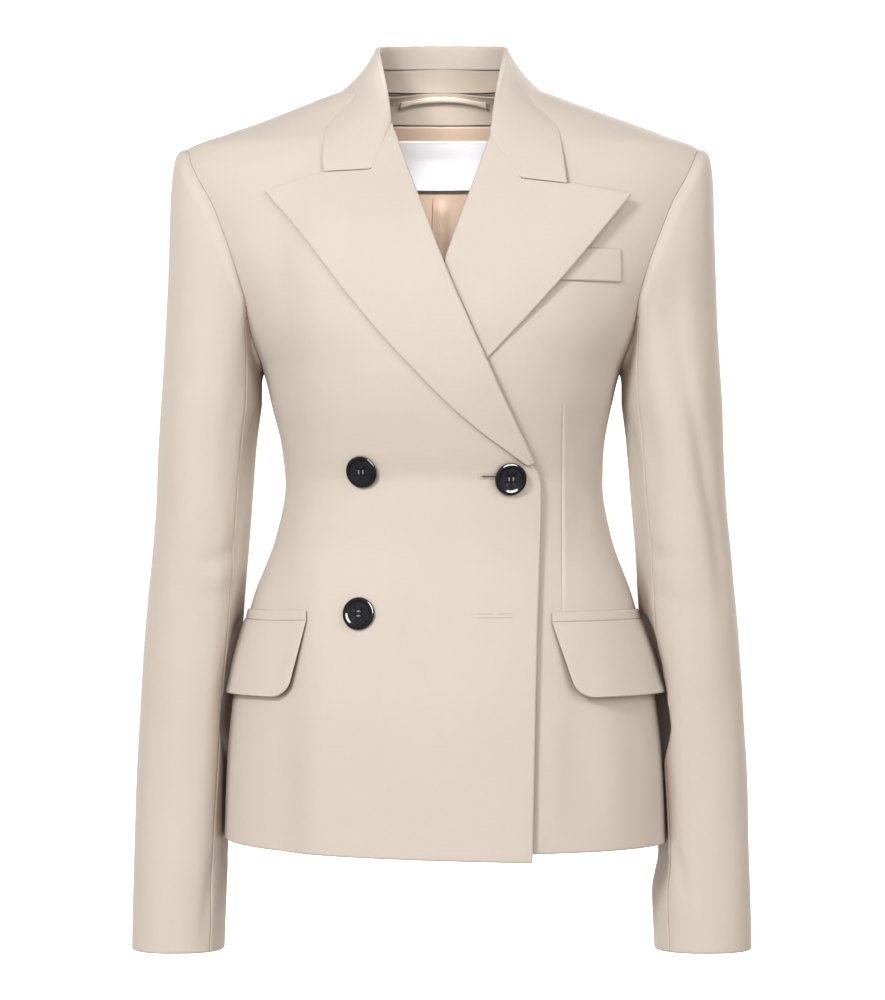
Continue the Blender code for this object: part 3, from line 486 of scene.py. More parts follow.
def waves(a, b, seed, long_a, long_b):
    """A soft unevenness between about -1 and 1, of waves with the given lengths."""
    draw = np.random.RandomState(seed)
    total = np.zeros(np.broadcast(a, b).shape)
    for _ in range(WAVES):
        across, along = draw.uniform(*WAVE_LENGTHS, 2)
        tilt, phase = draw.choice((-1, 1)), draw.uniform(0, 2 * math.pi)
        total += np.sin(2 * math.pi * (a * across / long_a + tilt * b * along / long_b) + phase)
    return total / WAVES**0.5 / WAVE_EVENS


def uneven(cloth, a, b, shift=0):
    """How high a cloth's unevenness stands at places (a, b)."""
    high, seed, long_a, long_b = UNEVEN[cloth]
    return high * waves(a, b, seed + shift, long_a, long_b)


def drape(turn, x, z):
    """How far the folds of the worn cloth move the body form out. They fade towards the seams and the neck."""
    away = np.abs(turn)
    front = away <= 90
    seams = ramp(np.abs(90 - away), *SIDE_CALM) * ramp(180 - away, *CENTRE_CALM) * ramp(-z, *NECK_CALM)
    high = np.where(front, folds(x, z, FRONT_FOLDS), folds(x, z, BACK_FOLDS))
    return seams * (high + uneven("body", x + 500 * front, z))


def on_body(side, turn, z, height=0.0):
    """Places on the right side of the worn cloth, or at a height over it."""
    base = form(turn, z)
    out = outward(turn, z)
    high = overlap(side, base[..., 0], z) + drape(turn, base[..., 0], z) + height
    return base + high[..., None] * out


def on_front(side, across, z, height=0.0):
    """The same, at places across from the middle towards the front's own side."""
    across, z = np.asarray(across, float), np.asarray(z, float)
    return on_body(side, turn_at(SIGN[side] * across, z), z, height)


# Shells


def steps_of(points, axis):
    """How far along a grid each point lies, in millimetres from its first side."""
    lengths = np.linalg.norm(np.diff(points, axis=axis), axis=-1)
    shape = list(lengths.shape)
    shape[axis] = 1
    return np.concatenate([np.zeros(shape), np.cumsum(lengths, axis=axis)], axis=axis)


def edge_distances(points):
    """Distance in millimetres of each point of a grid from its four sides, and its places across and along."""
    across, along = steps_of(points, 1), steps_of(points, 0)
    return {
        "first": across,
        "last": across[:, -1:] - across,
        "bottom": along,
        "top": along[-1:] - along,
    }


def grid_normals(points, turned=1):
    """The right side of a grid, from its neighbours."""
    across, along = np.gradient(points, axis=1), np.gradient(points, axis=0)
    return turned * unit(np.cross(across, along))


# How a folded edge and the cloth at a seam turn down: radius, drop, and most of the thickness that the drop takes
EDGE = (1.2, 0.55, 0.35)
INTO_SEAM = (1.5, 0.85, 0.5)
PRESSED = 0.3  # the share of its drop that a well pressed edge keeps
EDGE_BULGE = 0.25  # how far a folded edge's middle stands out, as a share of the thickness
SEAM_FADES = 7.0  # how far a seam makes the cloth beside it uneven
SHARP_FROM = math.radians(58)
MOST_DRAWN = 0.6  # the most of its first step that a side is drawn back
NEAR = (0.3, 0.75, 1.4, 2.4)  # millimetres from an edge at which points crowd there
NEAR_NARROW = NEAR[:3]
NEAR_TO_MIDDLE = 1.6
ONE_END = len(NEAR) + 1  # how many shares crowd at one end
ALL_SIDES = ("first", "last", "bottom", "top")
# How many rows or columns a grid has between its crowded ends, and how many millimetres they span
GRIDS = {
    "body_rows": (150, 600),
    "front_columns": (92, 230),
    "back_near": (26, 70),
    "back_far": (66, 130),
    "lapel_rows": (100, 310),
    "lapel_columns": (50, 90),
    "collar_inside": (5, 18),
    "collar_fall": (26, 60),
    "collar_length": (60, 190),
    "stand_columns": (6, 14),
    "facing_rows": (8, 24),
    "label_columns": (40, 80),
    "label_rows": (20, 40),
    "flap_rows": (26, 59),
    "pocket_columns": (44, 78),
    "jet_rows": (5, 7),
    "welt_rows": (12, 25),
    "welt_columns": (26, 45),
}


def rolled(distance, shape, thickness, pressed):
    """How far the cloth turns down at distances from an edge."""
    radius, drop, most = shape
    drop = min(drop, most * thickness) * (PRESSED if pressed else 1.0)
    t = 1 - np.clip(distance / radius, 0, 1)
    return drop * (1 - np.sqrt(np.maximum(0.0, 1 - t * t)))


def shell(
    node, material, points, normals, free=ALL_SIDES, seams=(), relief=0.0, flat=(), thickness=CLOTH,
    back_relief=None,
):
    """A closed thin shell in a solid's place, with its right side on the points, moved out by the relief. Free
    edges are rolled on both faces, edges at a seam turn down into it, and the flat ones of both are pressed."""
    name = node + "_cloth"
    far = edge_distances(points)
    outer = np.zeros(points.shape[:2]) + relief
    inner = np.zeros(points.shape[:2]) + (relief if back_relief is None else back_relief) - thickness
    soften = uneven("seam", far["first"], far["bottom"], sum(map(ord, name)))
    for side in free:
        down = rolled(far[side], EDGE, thickness, side in flat)
        outer -= down
        inner += down
    for side in seams:
        outer -= rolled(far[side], INTO_SEAM, thickness, side in flat)
        outer += soften * np.exp(-far[side] / SEAM_FADES)
    faces = [points + high[..., None] * normals for high in (outer, inner)]
    rows, columns = points.shape[:2]
    count = rows * columns
    ring = [(0, j) for j in range(columns)] + [(i, columns - 1) for i in range(1, rows)]
    ring += [(rows - 1, j) for j in range(columns - 2, -1, -1)] + [(i, 0) for i in range(rows - 2, 0, -1)]
    i, j = np.array(ring).T
    bulge = np.zeros(len(ring))
    for side, hit in zip(ALL_SIDES, (j == 0, j == columns - 1, i == 0, i == rows - 1)):
        if side in free:
            bulge[hit] = EDGE_BULGE * thickness
    inside = points[np.clip(i, 1, rows - 2), np.clip(j, 1, columns - 2)]
    middle = (faces[0][i, j] + faces[1][i, j]) / 2 + bulge[:, None] * unit(points[i, j] - inside)
    verts = np.concatenate([faces[0].reshape(-1, 3), faces[1].reshape(-1, 3), middle])
    index = np.arange(count).reshape(rows, columns)
    quad = np.stack([index[:-1, :-1], index[:-1, 1:], index[1:, 1:], index[1:, :-1]], -1).reshape(-1, 4)
    rim, mids = index[i, j], 2 * count + np.arange(len(ring))
    following, next_mids = np.roll(rim, -1), np.roll(mids, -1)
    polys = np.concatenate(
        [
            quad,
            quad[:, ::-1] + count,
            np.stack([following, rim, mids, next_mids], -1),
            np.stack([next_mids, mids, rim + count, following + count], -1),
        ]
    )
    first = quad[len(quad) // 2]
    corner = verts[first]
    facing = np.cross(corner[1] - corner[0], corner[3] - corner[0])
    if facing @ normals.reshape(-1, 3)[first[0]] < 0:
        polys = polys[:, ::-1]
    piece = add_piece(name, verts, polys.tolist(), material, node)
    places = np.stack([far["first"], far["bottom"]], -1).reshape(-1, 2)
    places = np.concatenate([places, places, places[rim]]).astype(np.float32)
    loops = np.empty(len(piece.data.loops), np.int32)
    piece.data.loops.foreach_get("vertex_index", loops)
    piece.data.uv_layers.new(name="Cloth").uv.foreach_set("vector", places[loops].ravel())
    piece.data.set_sharp_from_angle(angle=SHARP_FROM)
    return piece


def add_piece(name, verts, polys, material, node=None):
    """Adds a smooth mesh that rides with the blazer, in a solid's place if its node is named."""
    mesh = bpy.data.meshes.new(name)
    mesh.from_pydata((verts * MM).tolist(), [], polys)
    mesh.materials.append(material)
    mesh.shade_smooth()
    piece = bpy.data.objects.new(name, mesh)
    bpy.context.scene.collection.objects.link(piece)
    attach(piece, "root")
    if node:
        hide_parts(node)
    return piece


def crowded(grid, near=NEAR):
    """Shares from 0 to 1 for a grid's rows or columns, closer together beside both ends."""
    count, length = GRIDS[grid]
    near = np.array(near) / length
    middle = np.linspace(near[-1] * NEAR_TO_MIDDLE, 1 - near[-1] * NEAR_TO_MIDDLE, count)
    return np.concatenate([[0.0], near, middle, 1 - near[::-1], [1.0]])


def drawn_back(points, sides, gap=SEWN):
    """Draws the named sides of a grid back from a seam."""
    points = points.copy()
    for side in sides:
        row, beside = {
            "first": (np.s_[:, 0], np.s_[:, 1]),
            "last": (np.s_[:, -1], np.s_[:, -2]),
            "bottom": (np.s_[0], np.s_[1]),
            "top": (np.s_[-1], np.s_[-2]),
        }[side]
        away = points[beside] - points[row]
        most = MOST_DRAWN * np.linalg.norm(away, axis=-1, keepdims=True)
        points[row] = points[row] + unit(away) * np.minimum(gap, most)
    return points


# Fronts and backs


def row_numbers():
    """Row numbers of the body's cloth from the hem, with the corners of its outline among them."""
    rows = crowded("body_rows") * ALL_ROWS
    return np.unique(np.concatenate([rows, [EDGE_ROWS, SIDE_ROWS, EDGE_ROWS + ROLL_ROWS]]))


def front_edge(side, rows):
    """The inner edge of a front at row numbers from the hem, as turns and heights."""
    spots = np.empty((len(rows), 2))
    start = 0
    for line, steps in ((FRONT_EDGE[side], EDGE_ROWS), (ROLL_LINE[side], ROLL_ROWS), (NECKLINE[side], NECK_ROWS)):
        here = (rows >= start) & (rows <= start + steps)
        across, z = along_path(line, (rows[here] - start) / steps).T
        spots[here] = np.stack([turn_at(SIGN[side] * across, z), z], -1)
        start += steps
    return spots


def outer_edge(side, face, rows):
    """The side seam and the armhole at row numbers, as turns from the front and heights."""
    seam = np.stack([np.full(len(rows), 90.0), mix(SIDE_HEM[side], UNDERARM_Z, rows / SIDE_ROWS)], -1)
    hole = along_path(ARMHOLE[face], np.clip((rows - SIDE_ROWS) / ARMHOLE_ROWS, 0, 1))
    spots = np.where((rows < SIDE_ROWS)[:, None], seam, hole)
    turn = spots[:, 0] if face == "front" else 180 - spots[:, 0]
    return np.stack([SIGN[side] * turn, spots[:, 1]], -1)


def between(start, end, shares):
    """Places at shares of the way from each row's start to its end."""
    shares = np.broadcast_to(shares, (len(start), np.shape(shares)[-1]))[..., None]
    return start[:, None] * (1 - shares) + end[:, None] * shares


def body_shell(node, side, cells, free=ALL_SIDES, seams=(), relief=0.0, flat=(), lift=0.0, thickness=CLOTH):
    """A shell of suiting on the body, over cells of turn and height."""
    turn, z = cells[..., 0], cells[..., 1]
    points = drawn_back(on_body(side, turn, z, lift), seams)
    shell(node, SUITING, points, outward(turn, z), free, seams, relief, flat, thickness)


def dart_shares(start, end):
    """How far across each row of the left front its dart runs."""
    wide = end[:, 0] - start[:, 0]
    wide[wide == 0] = 1e-9  # the front ends in a point at the neck
    share = np.full(len(start), 0.5)
    for _ in range(DART_ROUNDS):
        z = mix(start[:, 1], end[:, 1], share)
        share = np.clip((turn_at(DART["x"], z) - start[:, 0]) / wide, *DART_SHARES)
    return share


def dart_relief(cells, base):
    """The left front's dart: a sewn groove with a soft ridge beside it, and a pucker at its top."""
    z = cells[..., 1]
    across = steps_of(on_body("left", cells[..., 0], z), 1)
    middle = int(np.argmin(np.abs(base - 0.5)))
    off = across - across[:, middle : middle + 1]
    along = ramp(DART["top"] - z, *DART_STARTS) * ramp(z - DART["bottom"], *DART_ENDS)
    groove = DART_GROOVE["deep"] * np.exp(-((off / DART_GROOVE["wide"]) ** 2)) * along
    ridge = DART_RIDGE["high"] * np.exp(-(((off - DART_RIDGE["off"]) / DART_RIDGE["wide"]) ** 2)) * along
    pucker = np.exp(-(((z - DART["top"]) / DART_PUCKER["tall"]) ** 2) - (off / DART_PUCKER["wide"]) ** 2)
    return ridge - groove + DART_PUCKER["high"] * pucker * ramp(DART["top"] - z, *DART_PUCKER["over"])


def make_front(side):
    rows = row_numbers()
    start, end = front_edge(side, rows), outer_edge(side, "front", rows)
    share = (dart_shares(start, end) if side == "left" else np.full(len(rows), 0.5))[:, None]
    base = np.unique(np.concatenate([crowded("front_columns"), 0.5 + DART_COLUMNS]))
    cells = between(start, end, np.where(base < 0.5, base * 2 * share, share + (base - 0.5) * 2 * (1 - share)))
    relief = dart_relief(cells, base) if side == "left" else 0.0
    body_shell(f"{side}_front", side, cells, ("first", "bottom"), ("last", "top"), relief, ("last",))


def back_lines(side, rows):
    """The centre seam, a line down from the neck point and the outer edge of a back, at row numbers."""
    end = outer_edge(side, "back", rows)
    shares = 1 - (1 - rows / ALL_ROWS) ** BACK_CROWDING
    centre_z = mix(CENTRE_BACK["hem"], CENTRE_BACK["neck"], shares)
    centre = np.stack([np.full(len(rows), SIGN[side] * 180.0), centre_z], -1)
    z = mix(centre_z, end[:, 1], BACK_COLUMNS[0] / sum(BACK_COLUMNS))
    z = mix(z, NECK_POINT[1], ramp(rows / ALL_ROWS, 0.7, 1.0))
    middle = np.stack([turn_at(SIGN[side] * NECK_POINT[0], z, behind=True), z], -1)
    return centre, middle, end


def make_back(side):
    centre, middle, end = back_lines(side, row_numbers())
    near, far = crowded("back_near")[: -ONE_END - 1], crowded("back_far")[ONE_END:]
    near = near / near[-1]
    far = (far - far[0]) / (far[-1] - far[0])
    cells = np.concatenate([between(centre, middle, near)[:, :-1], between(middle, end, far)], axis=1)
    body_shell(f"{side}_back", "left", cells, ("bottom",), ("first", "last", "top"))


# Sleeves


def armhole_ring(side, places):
    """The sleeve's first ring, a seam's width off the edge of the body's cloth, at places round it."""

    def at(places):
        places = np.mod(places, RING_POINTS)
        front = outer_edge(side, "front", SIDE_ROWS + np.minimum(places, ARMHOLE_ROWS))
        back = outer_edge(side, "back", SIDE_ROWS + np.minimum(RING_POINTS - places, ARMHOLE_ROWS))
        spots = np.where((places <= ARMHOLE_ROWS)[:, None], front, back)
        return on_body(side, spots[:, 0], spots[:, 1]), spots

    points, spots = at(places)
    after, before = at(places + 0.5)[0], at(places - 0.5)[0]
    centre = at(np.arange(RING_POINTS))[0].mean(0)
    out = outward(spots[:, 0], spots[:, 1])
    off_edge = unit(np.cross(out, unit(after - before)))
    towards = np.sign(((centre - points) * off_edge).sum(-1, keepdims=True))
    return points + 2 * SEWN * off_edge * towards, out


def body_reach(side, y, z):
    """How far across the body and its pocket reach, where the sleeve hangs beside them."""
    mid, half, front, back = BODY.at(z)
    share = np.minimum(np.abs(y) / np.where(y < 0, front, back), 1.0)
    reach = SIGN[side] * mid + half * (1 - share**2) ** (1 / SQUARE)
    above, below, ahead = PAST_FLAP
    near_flap = ramp(z, *above) * ramp(-z, *below) * ramp(-y, *ahead)
    reach = reach - SLEEVE_CLOSES_IN * ramp(-z, *CUFF_FROM)
    return reach + SLEEVE_CLEARANCE + near_flap * (TRIM_LAY + CLOTH + FLAP_STANDS_OFF[side])


def sleeve_rings(side, z, places):
    """Oval sections of a sleeve, rows at heights and columns at places round it."""
    z = np.asarray(z, float)[:, None]
    mid_x, mid_y, half_x, half_y = SLEEVE.at(z)
    angle = np.radians(180 + 360 * places / RING_POINTS)[None]
    c, s = np.cos(angle), np.sin(angle)
    wider = CUFF_WIDER[side] * ramp(-z, *CUFF_FROM)
    x = mid_x - wider + (half_x + wider) * np.copysign(np.abs(c) ** (2 / SLEEVE_SQUARE), c)
    y = mid_y + half_y * np.copysign(np.abs(s) ** (2 / SLEEVE_SQUARE), s)
    x = np.maximum(x, body_reach(side, y, np.broadcast_to(z, y.shape)))
    return np.stack([SIGN[side] * x, y, np.broadcast_to(z, y.shape)], -1)


def sleeve_grid(side, places, heights):
    """A sleeve's points: rows turned in at the armhole, a curved cap out to the first oval, then ovals."""
    first, out = armhole_ring(side, places)
    finish = sleeve_rings(side, SLEEVE_SECTIONS[-1:, 0], places)[0]
    high = (1 - np.cos(2 * math.pi * places / RING_POINTS)) / 2
    ahead = -np.sin(2 * math.pi * places / RING_POINTS)
    bulge = [SIGN[side] * mix(*CAP_BULGE, high), CAP_ROUND * ahead, mix(*CAP_LIFT, high)]
    leave = first + np.stack(bulge, -1)
    rise = CAP_RISE * (first[:, 2] - finish[:, 2])
    arrive = finish + np.stack([-SIGN[side] * CAP_FLATTER * high, 0 * high, rise], -1)
    t = CAP_SHARES[:, None, None]
    r = 1 - t
    cap = r**3 * first + 3 * r * r * t * leave + 3 * r * t * t * arrive + t**3 * finish
    turned_in = first - np.array(TURNED_IN)[:, None, None] * out
    return np.concatenate([turned_in, cap, sleeve_rings(side, heights, places)])


def sleeve_places():
    """Places round a sleeve, with more of them beside its two seams."""
    places = np.arange(SLEEVE_COLUMNS) * RING_POINTS / SLEEVE_COLUMNS
    seams = (FOREARM_SEAM, HINDARM_SEAM)
    kept = [p for p in places if min(abs(p - seam) for seam in seams) > SEAM_APART]
    return np.sort(np.concatenate([kept] + [seam + SEAM_COLUMNS for seam in seams]))


def sleeve_relief(side, grid, places):
    """The folds of a sleeve and the roll of its head."""
    ring, z = np.broadcast_to(places * RING_STEP, grid.shape[:2]), grid[..., 2]
    whole = RING_POINTS * RING_STEP
    turn = 2 * math.pi * ring / whole
    table = [
        ([(place * RING_STEP, at) for place, at in line], wide, high) for line, wide, high in SLEEVE_FOLDS[side]
    ]
    relief = folds(ring, z, table) + folds(ring - whole, z, table)
    relief += uneven("sleeve", np.sin(turn) * 46, z, SIGN[side])
    calm = 1 - 0.75 * ramp(np.cos(turn), 0.45, 0.9)  # nothing stands up towards the body
    from_top = steps_of(grid, 0)
    relief = np.where(relief > 0, calm, 1.0) * relief * ramp(from_top, 8, 60)
    at_head = np.exp(-(((from_top - HEAD_ROLL["at"]) / HEAD_ROLL["wide"]) ** 2)) * ramp(from_top, 2.6, 9)
    return relief + HEAD_ROLL["high"] * at_head * (1 - np.cos(turn)) / 2


def make_sleeve(side):
    places = sleeve_places()
    low, high = SLEEVE_SECTIONS[0, 0], SLEEVE_SECTIONS[-1, 0]
    heights = np.concatenate([mix(high, low, np.linspace(0, 1, ARM_ROWS)[1:-1]), low + CUFF_ROWS])
    grid = sleeve_grid(side, places, heights)
    padded = np.concatenate([grid[:, -1:], grid, grid[:, :1]], axis=1)
    normals = grid_normals(padded, -SIGN[side])[:, 1:-1]
    relief = sleeve_relief(side, grid, places)
    twice = np.concatenate([places, places + RING_POINTS])
    pieces = (("top", FOREARM_SEAM, HINDARM_SEAM), ("under", HINDARM_SEAM, FOREARM_SEAM + RING_POINTS))
    for part, start, end in pieces:
        columns = np.flatnonzero((twice > start - 1e-6) & (twice < end + 1e-6)) % len(places)
        seams = ("first", "last")
        points = drawn_back(grid[:, columns], seams)
        shell(
            f"{side}_{part}_sleeve", SUITING, points, normals[:, columns], ("top",), seams, relief[:, columns]
        )


# Lapels


def lapel_height(side, u, z):
    """How high a lapel's face stands over the front."""
    proud = LAPEL_PROUD[side] * u * u * ramp(z, *LAPEL_PROUD_RISES)
    return mix(ROLL_TOP, LAY + CLOTH, ramp(u, 0, 0.3)) + proud


def lapel_spots(side, shares, u):
    """Places of a lapel's face, rows at shares up the roll and columns at u from the roll out to the edge."""
    roll, edge = along_path(ROLL_LINE[side], shares), along_path(LAPEL_EDGE[side], shares)
    corners = np.array((ROLL_LINE[side][-1], GORGE_TURN[side], NOTCH[side], LAPEL_EDGE[side][-1]), float)
    top = np.stack([np.interp(u, (0, GORGE_U, NOTCH_U, 1), corners[:, n]) for n in (0, 1)], -1)
    straight = between(roll, edge, u)
    return straight + (shares**3)[:, None, None] * (top - straight[-1])


def roll_loop(side, start, beside, angles):
    """Points round the roll from the panel's edge over to the lapel's face, and which way they face."""
    x = SIGN[side] * start[..., 0]
    base = on_front(side, start[..., 0], start[..., 1])
    out = outward(turn_at(x, start[..., 1]), start[..., 1])
    away = on_front(side, beside[..., 0], beside[..., 1]) - base
    away = unit(away - (away * out).sum(-1, keepdims=True) * out)
    radius, lift = (ROLL_TOP + CLOTH) / 2, (ROLL_TOP - CLOTH) / 2
    centre = (base - SEAM * away + lift * out)[:, None]
    angle = np.radians(angles)[None, :, None]
    arms = np.cos(angle) * out[:, None] - np.sin(angle) * away[:, None]
    return centre + radius * arms, arms


def lapel_surface(side, shares, u, angles):
    """Points and facings of a lapel's right side, its roll first."""
    spots = lapel_spots(side, shares, u)
    beside = lapel_spots(side, shares, np.array([0.0, 1 / LAPEL_STEPS]))[:, 1]
    across, z = spots[..., 0], spots[..., 1]
    flat = on_front(side, across, z, lapel_height(side, u, z))
    flat_out = outward(turn_at(SIGN[side] * across, z), z)
    loop, loop_out = roll_loop(side, spots[:, 0], beside, angles)
    return np.concatenate([loop, flat], axis=1), np.concatenate([loop_out, flat_out], axis=1)


def make_lapel(side):
    shares = crowded("lapel_rows")
    u = np.unique(np.concatenate([crowded("lapel_columns"), [GORGE_U, NOTCH_U]]))
    points, normals = lapel_surface(side, shares, u, LOOP_ANGLES)
    far = edge_distances(points)
    relief = uneven("lapel", points[..., 0], points[..., 2], SIGN[side])
    relief *= ramp(far["first"], 10, 40) * ramp(far["top"], 2, 30)
    columns = np.concatenate([np.zeros(len(LOOP_ANGLES)), u])
    open_here = ramp(columns, GORGE_U - 0.02, GORGE_U + 0.02) * ramp(NOTCH_U + 0.01 - columns, 0, 0.01)
    relief = relief - NOTCH_DROP * open_here * np.exp(-far["top"] / NOTCH_WIDE)
    points = drawn_back(points, ("top",), mix(GORGE_SEWN, NOTCH_OPEN, open_here)[:, None])
    shell(f"{side}_lapel", SUITING, points, normals, relief=relief, flat=("top",))


def make_notch_slit(side):
    """A dark line of painted shadow in the slit between the end of the collar and the top of the lapel."""
    u = np.linspace(GORGE_U + 0.015, NOTCH_U - 0.01, 40)
    points, normals = lapel_surface(side, np.array([0.0, 1.0]), u, np.array([0.0]))
    line = points[-1, 1:] - SLIT_DEPTH * normals[-1, 1:]
    make_threads(f"{side}_notch_slit", [line], "slit")


# Collar


LEVEL = np.array((1, 1, 0))


def seat(side, stations):
    """The neck seam at stations, on the body's cloth."""
    place = np.asarray(stations, float) / 2
    front = front_edge(side, ALL_ROWS - NECK_ROWS + np.clip(place, 0, NECK_ROWS))
    centre, middle, _ = back_lines(side, np.array([ALL_ROWS], float))
    t = np.clip((place - NECK_ROWS) / BACK_COLUMNS[0], 0, 1)[:, None]
    back = middle * (1 - t) + centre * t
    spots = np.where((place <= NECK_ROWS)[:, None], front, back)
    return on_body("left", spots[:, 0], spots[:, 1])


def stand_foot(side, stations):
    """The foot of the stand, inside the cloth at the neck seam."""
    seam = seat(side, stations)
    return seam + np.array((0, 0, SEAM)) - (CLOTH + SEAM / 2) * unit(seam * LEVEL)


def rest_on_body(points, height):
    """Moves points softly out where they are nearer to the body than the height."""
    x, y, z = points[..., 0], points[..., 1], points[..., 2]
    half = BODY.at(z)[1]
    turn = np.where(y > 0, turn_at(x, z, behind=True), turn_at(x, z))
    out = outward(turn, z)
    short = height - ((points - form(turn, z)) * out).sum(-1)
    push = (short + np.sqrt(short * short + REST_SOFT**2)) / 2 * ramp(half - np.abs(x), 0, REST_FADES)
    return points + push[..., None] * out


def collar_rows(side, stations, w):
    """The collar's right side at stations, w from 0 inside the neck, by 4 on the fold, to 8 at its edge."""
    values = COLLAR.at(stations)
    flip = np.array((SIGN[side], 1, 1))
    fold, edge, hollow = np.stack(values[:3], -1) * flip, np.stack(values[3:6], -1) * flip, values[6]
    foot = stand_foot(side, stations)
    out = unit(fold * LEVEL)
    up = fold - (edge + foot) / 2
    up = unit(up - (up * out).sum(-1, keepdims=True) * out)
    centre = fold - FOLD_RADIUS * up
    start = centre - FOLD_RADIUS * out
    gap = foot - start
    reach = np.minimum(FOLD_DROP, 0.5 * np.linalg.norm(gap, axis=-1, keepdims=True))
    drop = start + reach * unit(gap)
    angle = np.radians(FOLD_START - FOLD_STEP * np.clip(w - 1, 0, 3))[None, :, None]
    turned = centre[:, None] + FOLD_RADIUS * (np.cos(angle) * out[:, None] + np.sin(angle) * up[:, None])
    inside = drop[:, None] + np.clip(w, 0, 1)[None, :, None] * (turned[:, :1] - drop[:, None])
    t = (np.clip(w - 4, 0, 4) / FALL_COLUMNS)[None, :, None]
    on_fold = (centre + FOLD_RADIUS * out)[:, None]
    fall = on_fold * (1 - t) + edge[:, None] * t
    fall = fall - (hollow[:, None] * np.sin(math.pi * t[..., 0]))[..., None] * out[:, None]
    fall = rest_on_body(fall, FALL_CLEAR)
    w = w[None, :, None]
    return np.where(w < 1, inside, np.where(w <= 4, turned, fall))


def gorge_row(side, w):
    """The lapel's top row, read at the collar's columns."""
    angles = 180 * (1 - w[w < LOOP_STEPS] / LOOP_STEPS)
    u = (w[w >= LOOP_STEPS] - LOOP_STEPS) / LAPEL_STEPS
    shares = np.array([0.0, 1.0])
    return lapel_surface(side, shares, u, angles)[0][-1]


def collar_half(side, stations, w):
    """Half of the collar, with its end blended into the top of the lapel."""
    first = COLLAR_STATIONS[0, 0]
    near, far = stations[stations < first], stations[stations >= first]
    rows = collar_rows(side, far, w)
    start, first_row = gorge_row(side, w), collar_rows(side, np.array([first]), w)[0]
    seats = seat(side, np.append(near, first))
    t = (near / first)[:, None, None]
    a, b = start - seat(side, [0.0])[0], first_row - seats[-1]
    blended = seats[:-1, None] + a[None] * (1 - t) + b[None] * t
    return np.concatenate([blended, rows])


# The collar's columns: inside the neck, round the fold and down the fall
COLLAR_W = np.unique(
    np.concatenate(
        [crowded("collar_inside")[:-ONE_END], np.linspace(1, 4, 13), 4 + 4 * crowded("collar_fall")[ONE_END:]]
    )
)
GORGE_W = LOOP_STEPS + LAPEL_STEPS / 3


def evened_rows(points, keep):
    """One round of drawing each row towards the middle of its neighbours, by the share kept for it."""
    lengths = np.linalg.norm(np.diff(points, axis=0), axis=-1, keepdims=True)
    share = lengths[:-1] / (lengths[:-1] + lengths[1:])
    middle = points[:-2] * (1 - share) + points[2:] * share
    points = points.copy()
    points[1:-1] += 0.5 * keep[1:-1, :, None] * (middle - points[1:-1])
    return points


def evened(points, w, rounds):
    """The collar's points with no crease where its fall comes to rest on the shoulder."""
    far = edge_distances(points)
    keep = ramp(np.minimum(far["bottom"], far["top"]), 1, 16)
    fall = ramp(w, 4.15, 4.8) * ramp(far["last"], 0.5, 9) * keep
    for _ in range(rounds):
        points = evened_rows(points, keep)
        points = evened_rows(points.swapaxes(0, 1), fall.T).swapaxes(0, 1)
    return points


def make_collar():
    stations = np.concatenate([crowded("collar_length")[:-ONE_END] * CENTRE_STATION, [CENTRE_STATION]])
    right, left = (collar_half(side, stations, COLLAR_W) for side in SIGN)
    points = np.concatenate([right, left[-2::-1]])
    points[len(right) - 1, :, 0] = 0.0
    points = evened(points, COLLAR_W, COLLAR_ROUNDS)
    normals = grid_normals(points, SIGN["right"])
    far = edge_distances(points)
    relief = uneven("collar", points[..., 0] + points[..., 1], points[..., 2])
    relief *= ramp(far["last"], 2, 20) * ramp(far["first"], 4, 20)
    open_here = ramp(COLLAR_W, GORGE_W - 0.12, GORGE_W + 0.12)
    relief = relief - NOTCH_DROP * open_here * np.exp(-np.minimum(far["bottom"], far["top"]) / NOTCH_WIDE)
    ends = ("bottom", "top")
    points = drawn_back(points, ends, mix(GORGE_SEWN, NOTCH_OPEN, open_here)[:, None])
    shell("collar", SUITING, points, normals, ("last",), ("first", *ends), relief, ends)


def make_stand():
    stations = np.linspace(STAND_FROM, CENTRE_STATION, 60)
    halves = []
    for side in SIGN:
        foot = stand_foot(side, stations)
        drop = collar_rows(side, stations, np.array([0.0]))[:, 0]
        high = drop + SEAM * unit(foot - drop)
        halves.append(between(foot, high, crowded("stand_columns", NEAR_NARROW)))
    points = np.concatenate([halves[0], halves[1][-2::-1]])
    seams = ("first", "last")
    # The stand is cut from the suiting, but takes the darker facing cloth: painted shade inside the neck.
    shell("collar_stand", FACING, points, grid_normals(points, -SIGN["right"]), (), seams, flat=seams)


# Inside the neck


def layer_points(cells, depth_of):
    """Points on the inside of the back, over turns from the centre back and heights."""
    turn, z = cells[..., 0], cells[..., 1]
    return on_body("left", 180 - turn, z, -depth_of(turn, z)), outward(180 - turn, z)


def layer(node, material, cells, depth_of, thickness, relief=0.0, flat=()):
    """A shell on the inside of the back, its right side facing into the body."""
    points, out = layer_points(cells, lambda turn, z: depth_of(turn, z) + thickness)
    shell(node, material, points, -out, relief=relief, flat=flat, thickness=thickness)


def back_cells(x, z):
    """Turns from the centre back and heights of places at x behind."""
    x, z = np.broadcast_arrays(np.asarray(x, float), np.asarray(z, float))
    turn = turn_at(x, z, behind=True)
    return np.stack([np.where(turn > 0, 180 - turn, -180 - turn), z], -1)


def facing_depth(turn, z):
    """How deep under the back's right side the facing lies; the depths below are the same for the others."""
    return FACING_DEPTH + FACING_END_DEPTH * ramp(np.abs(turn), 8, 40)


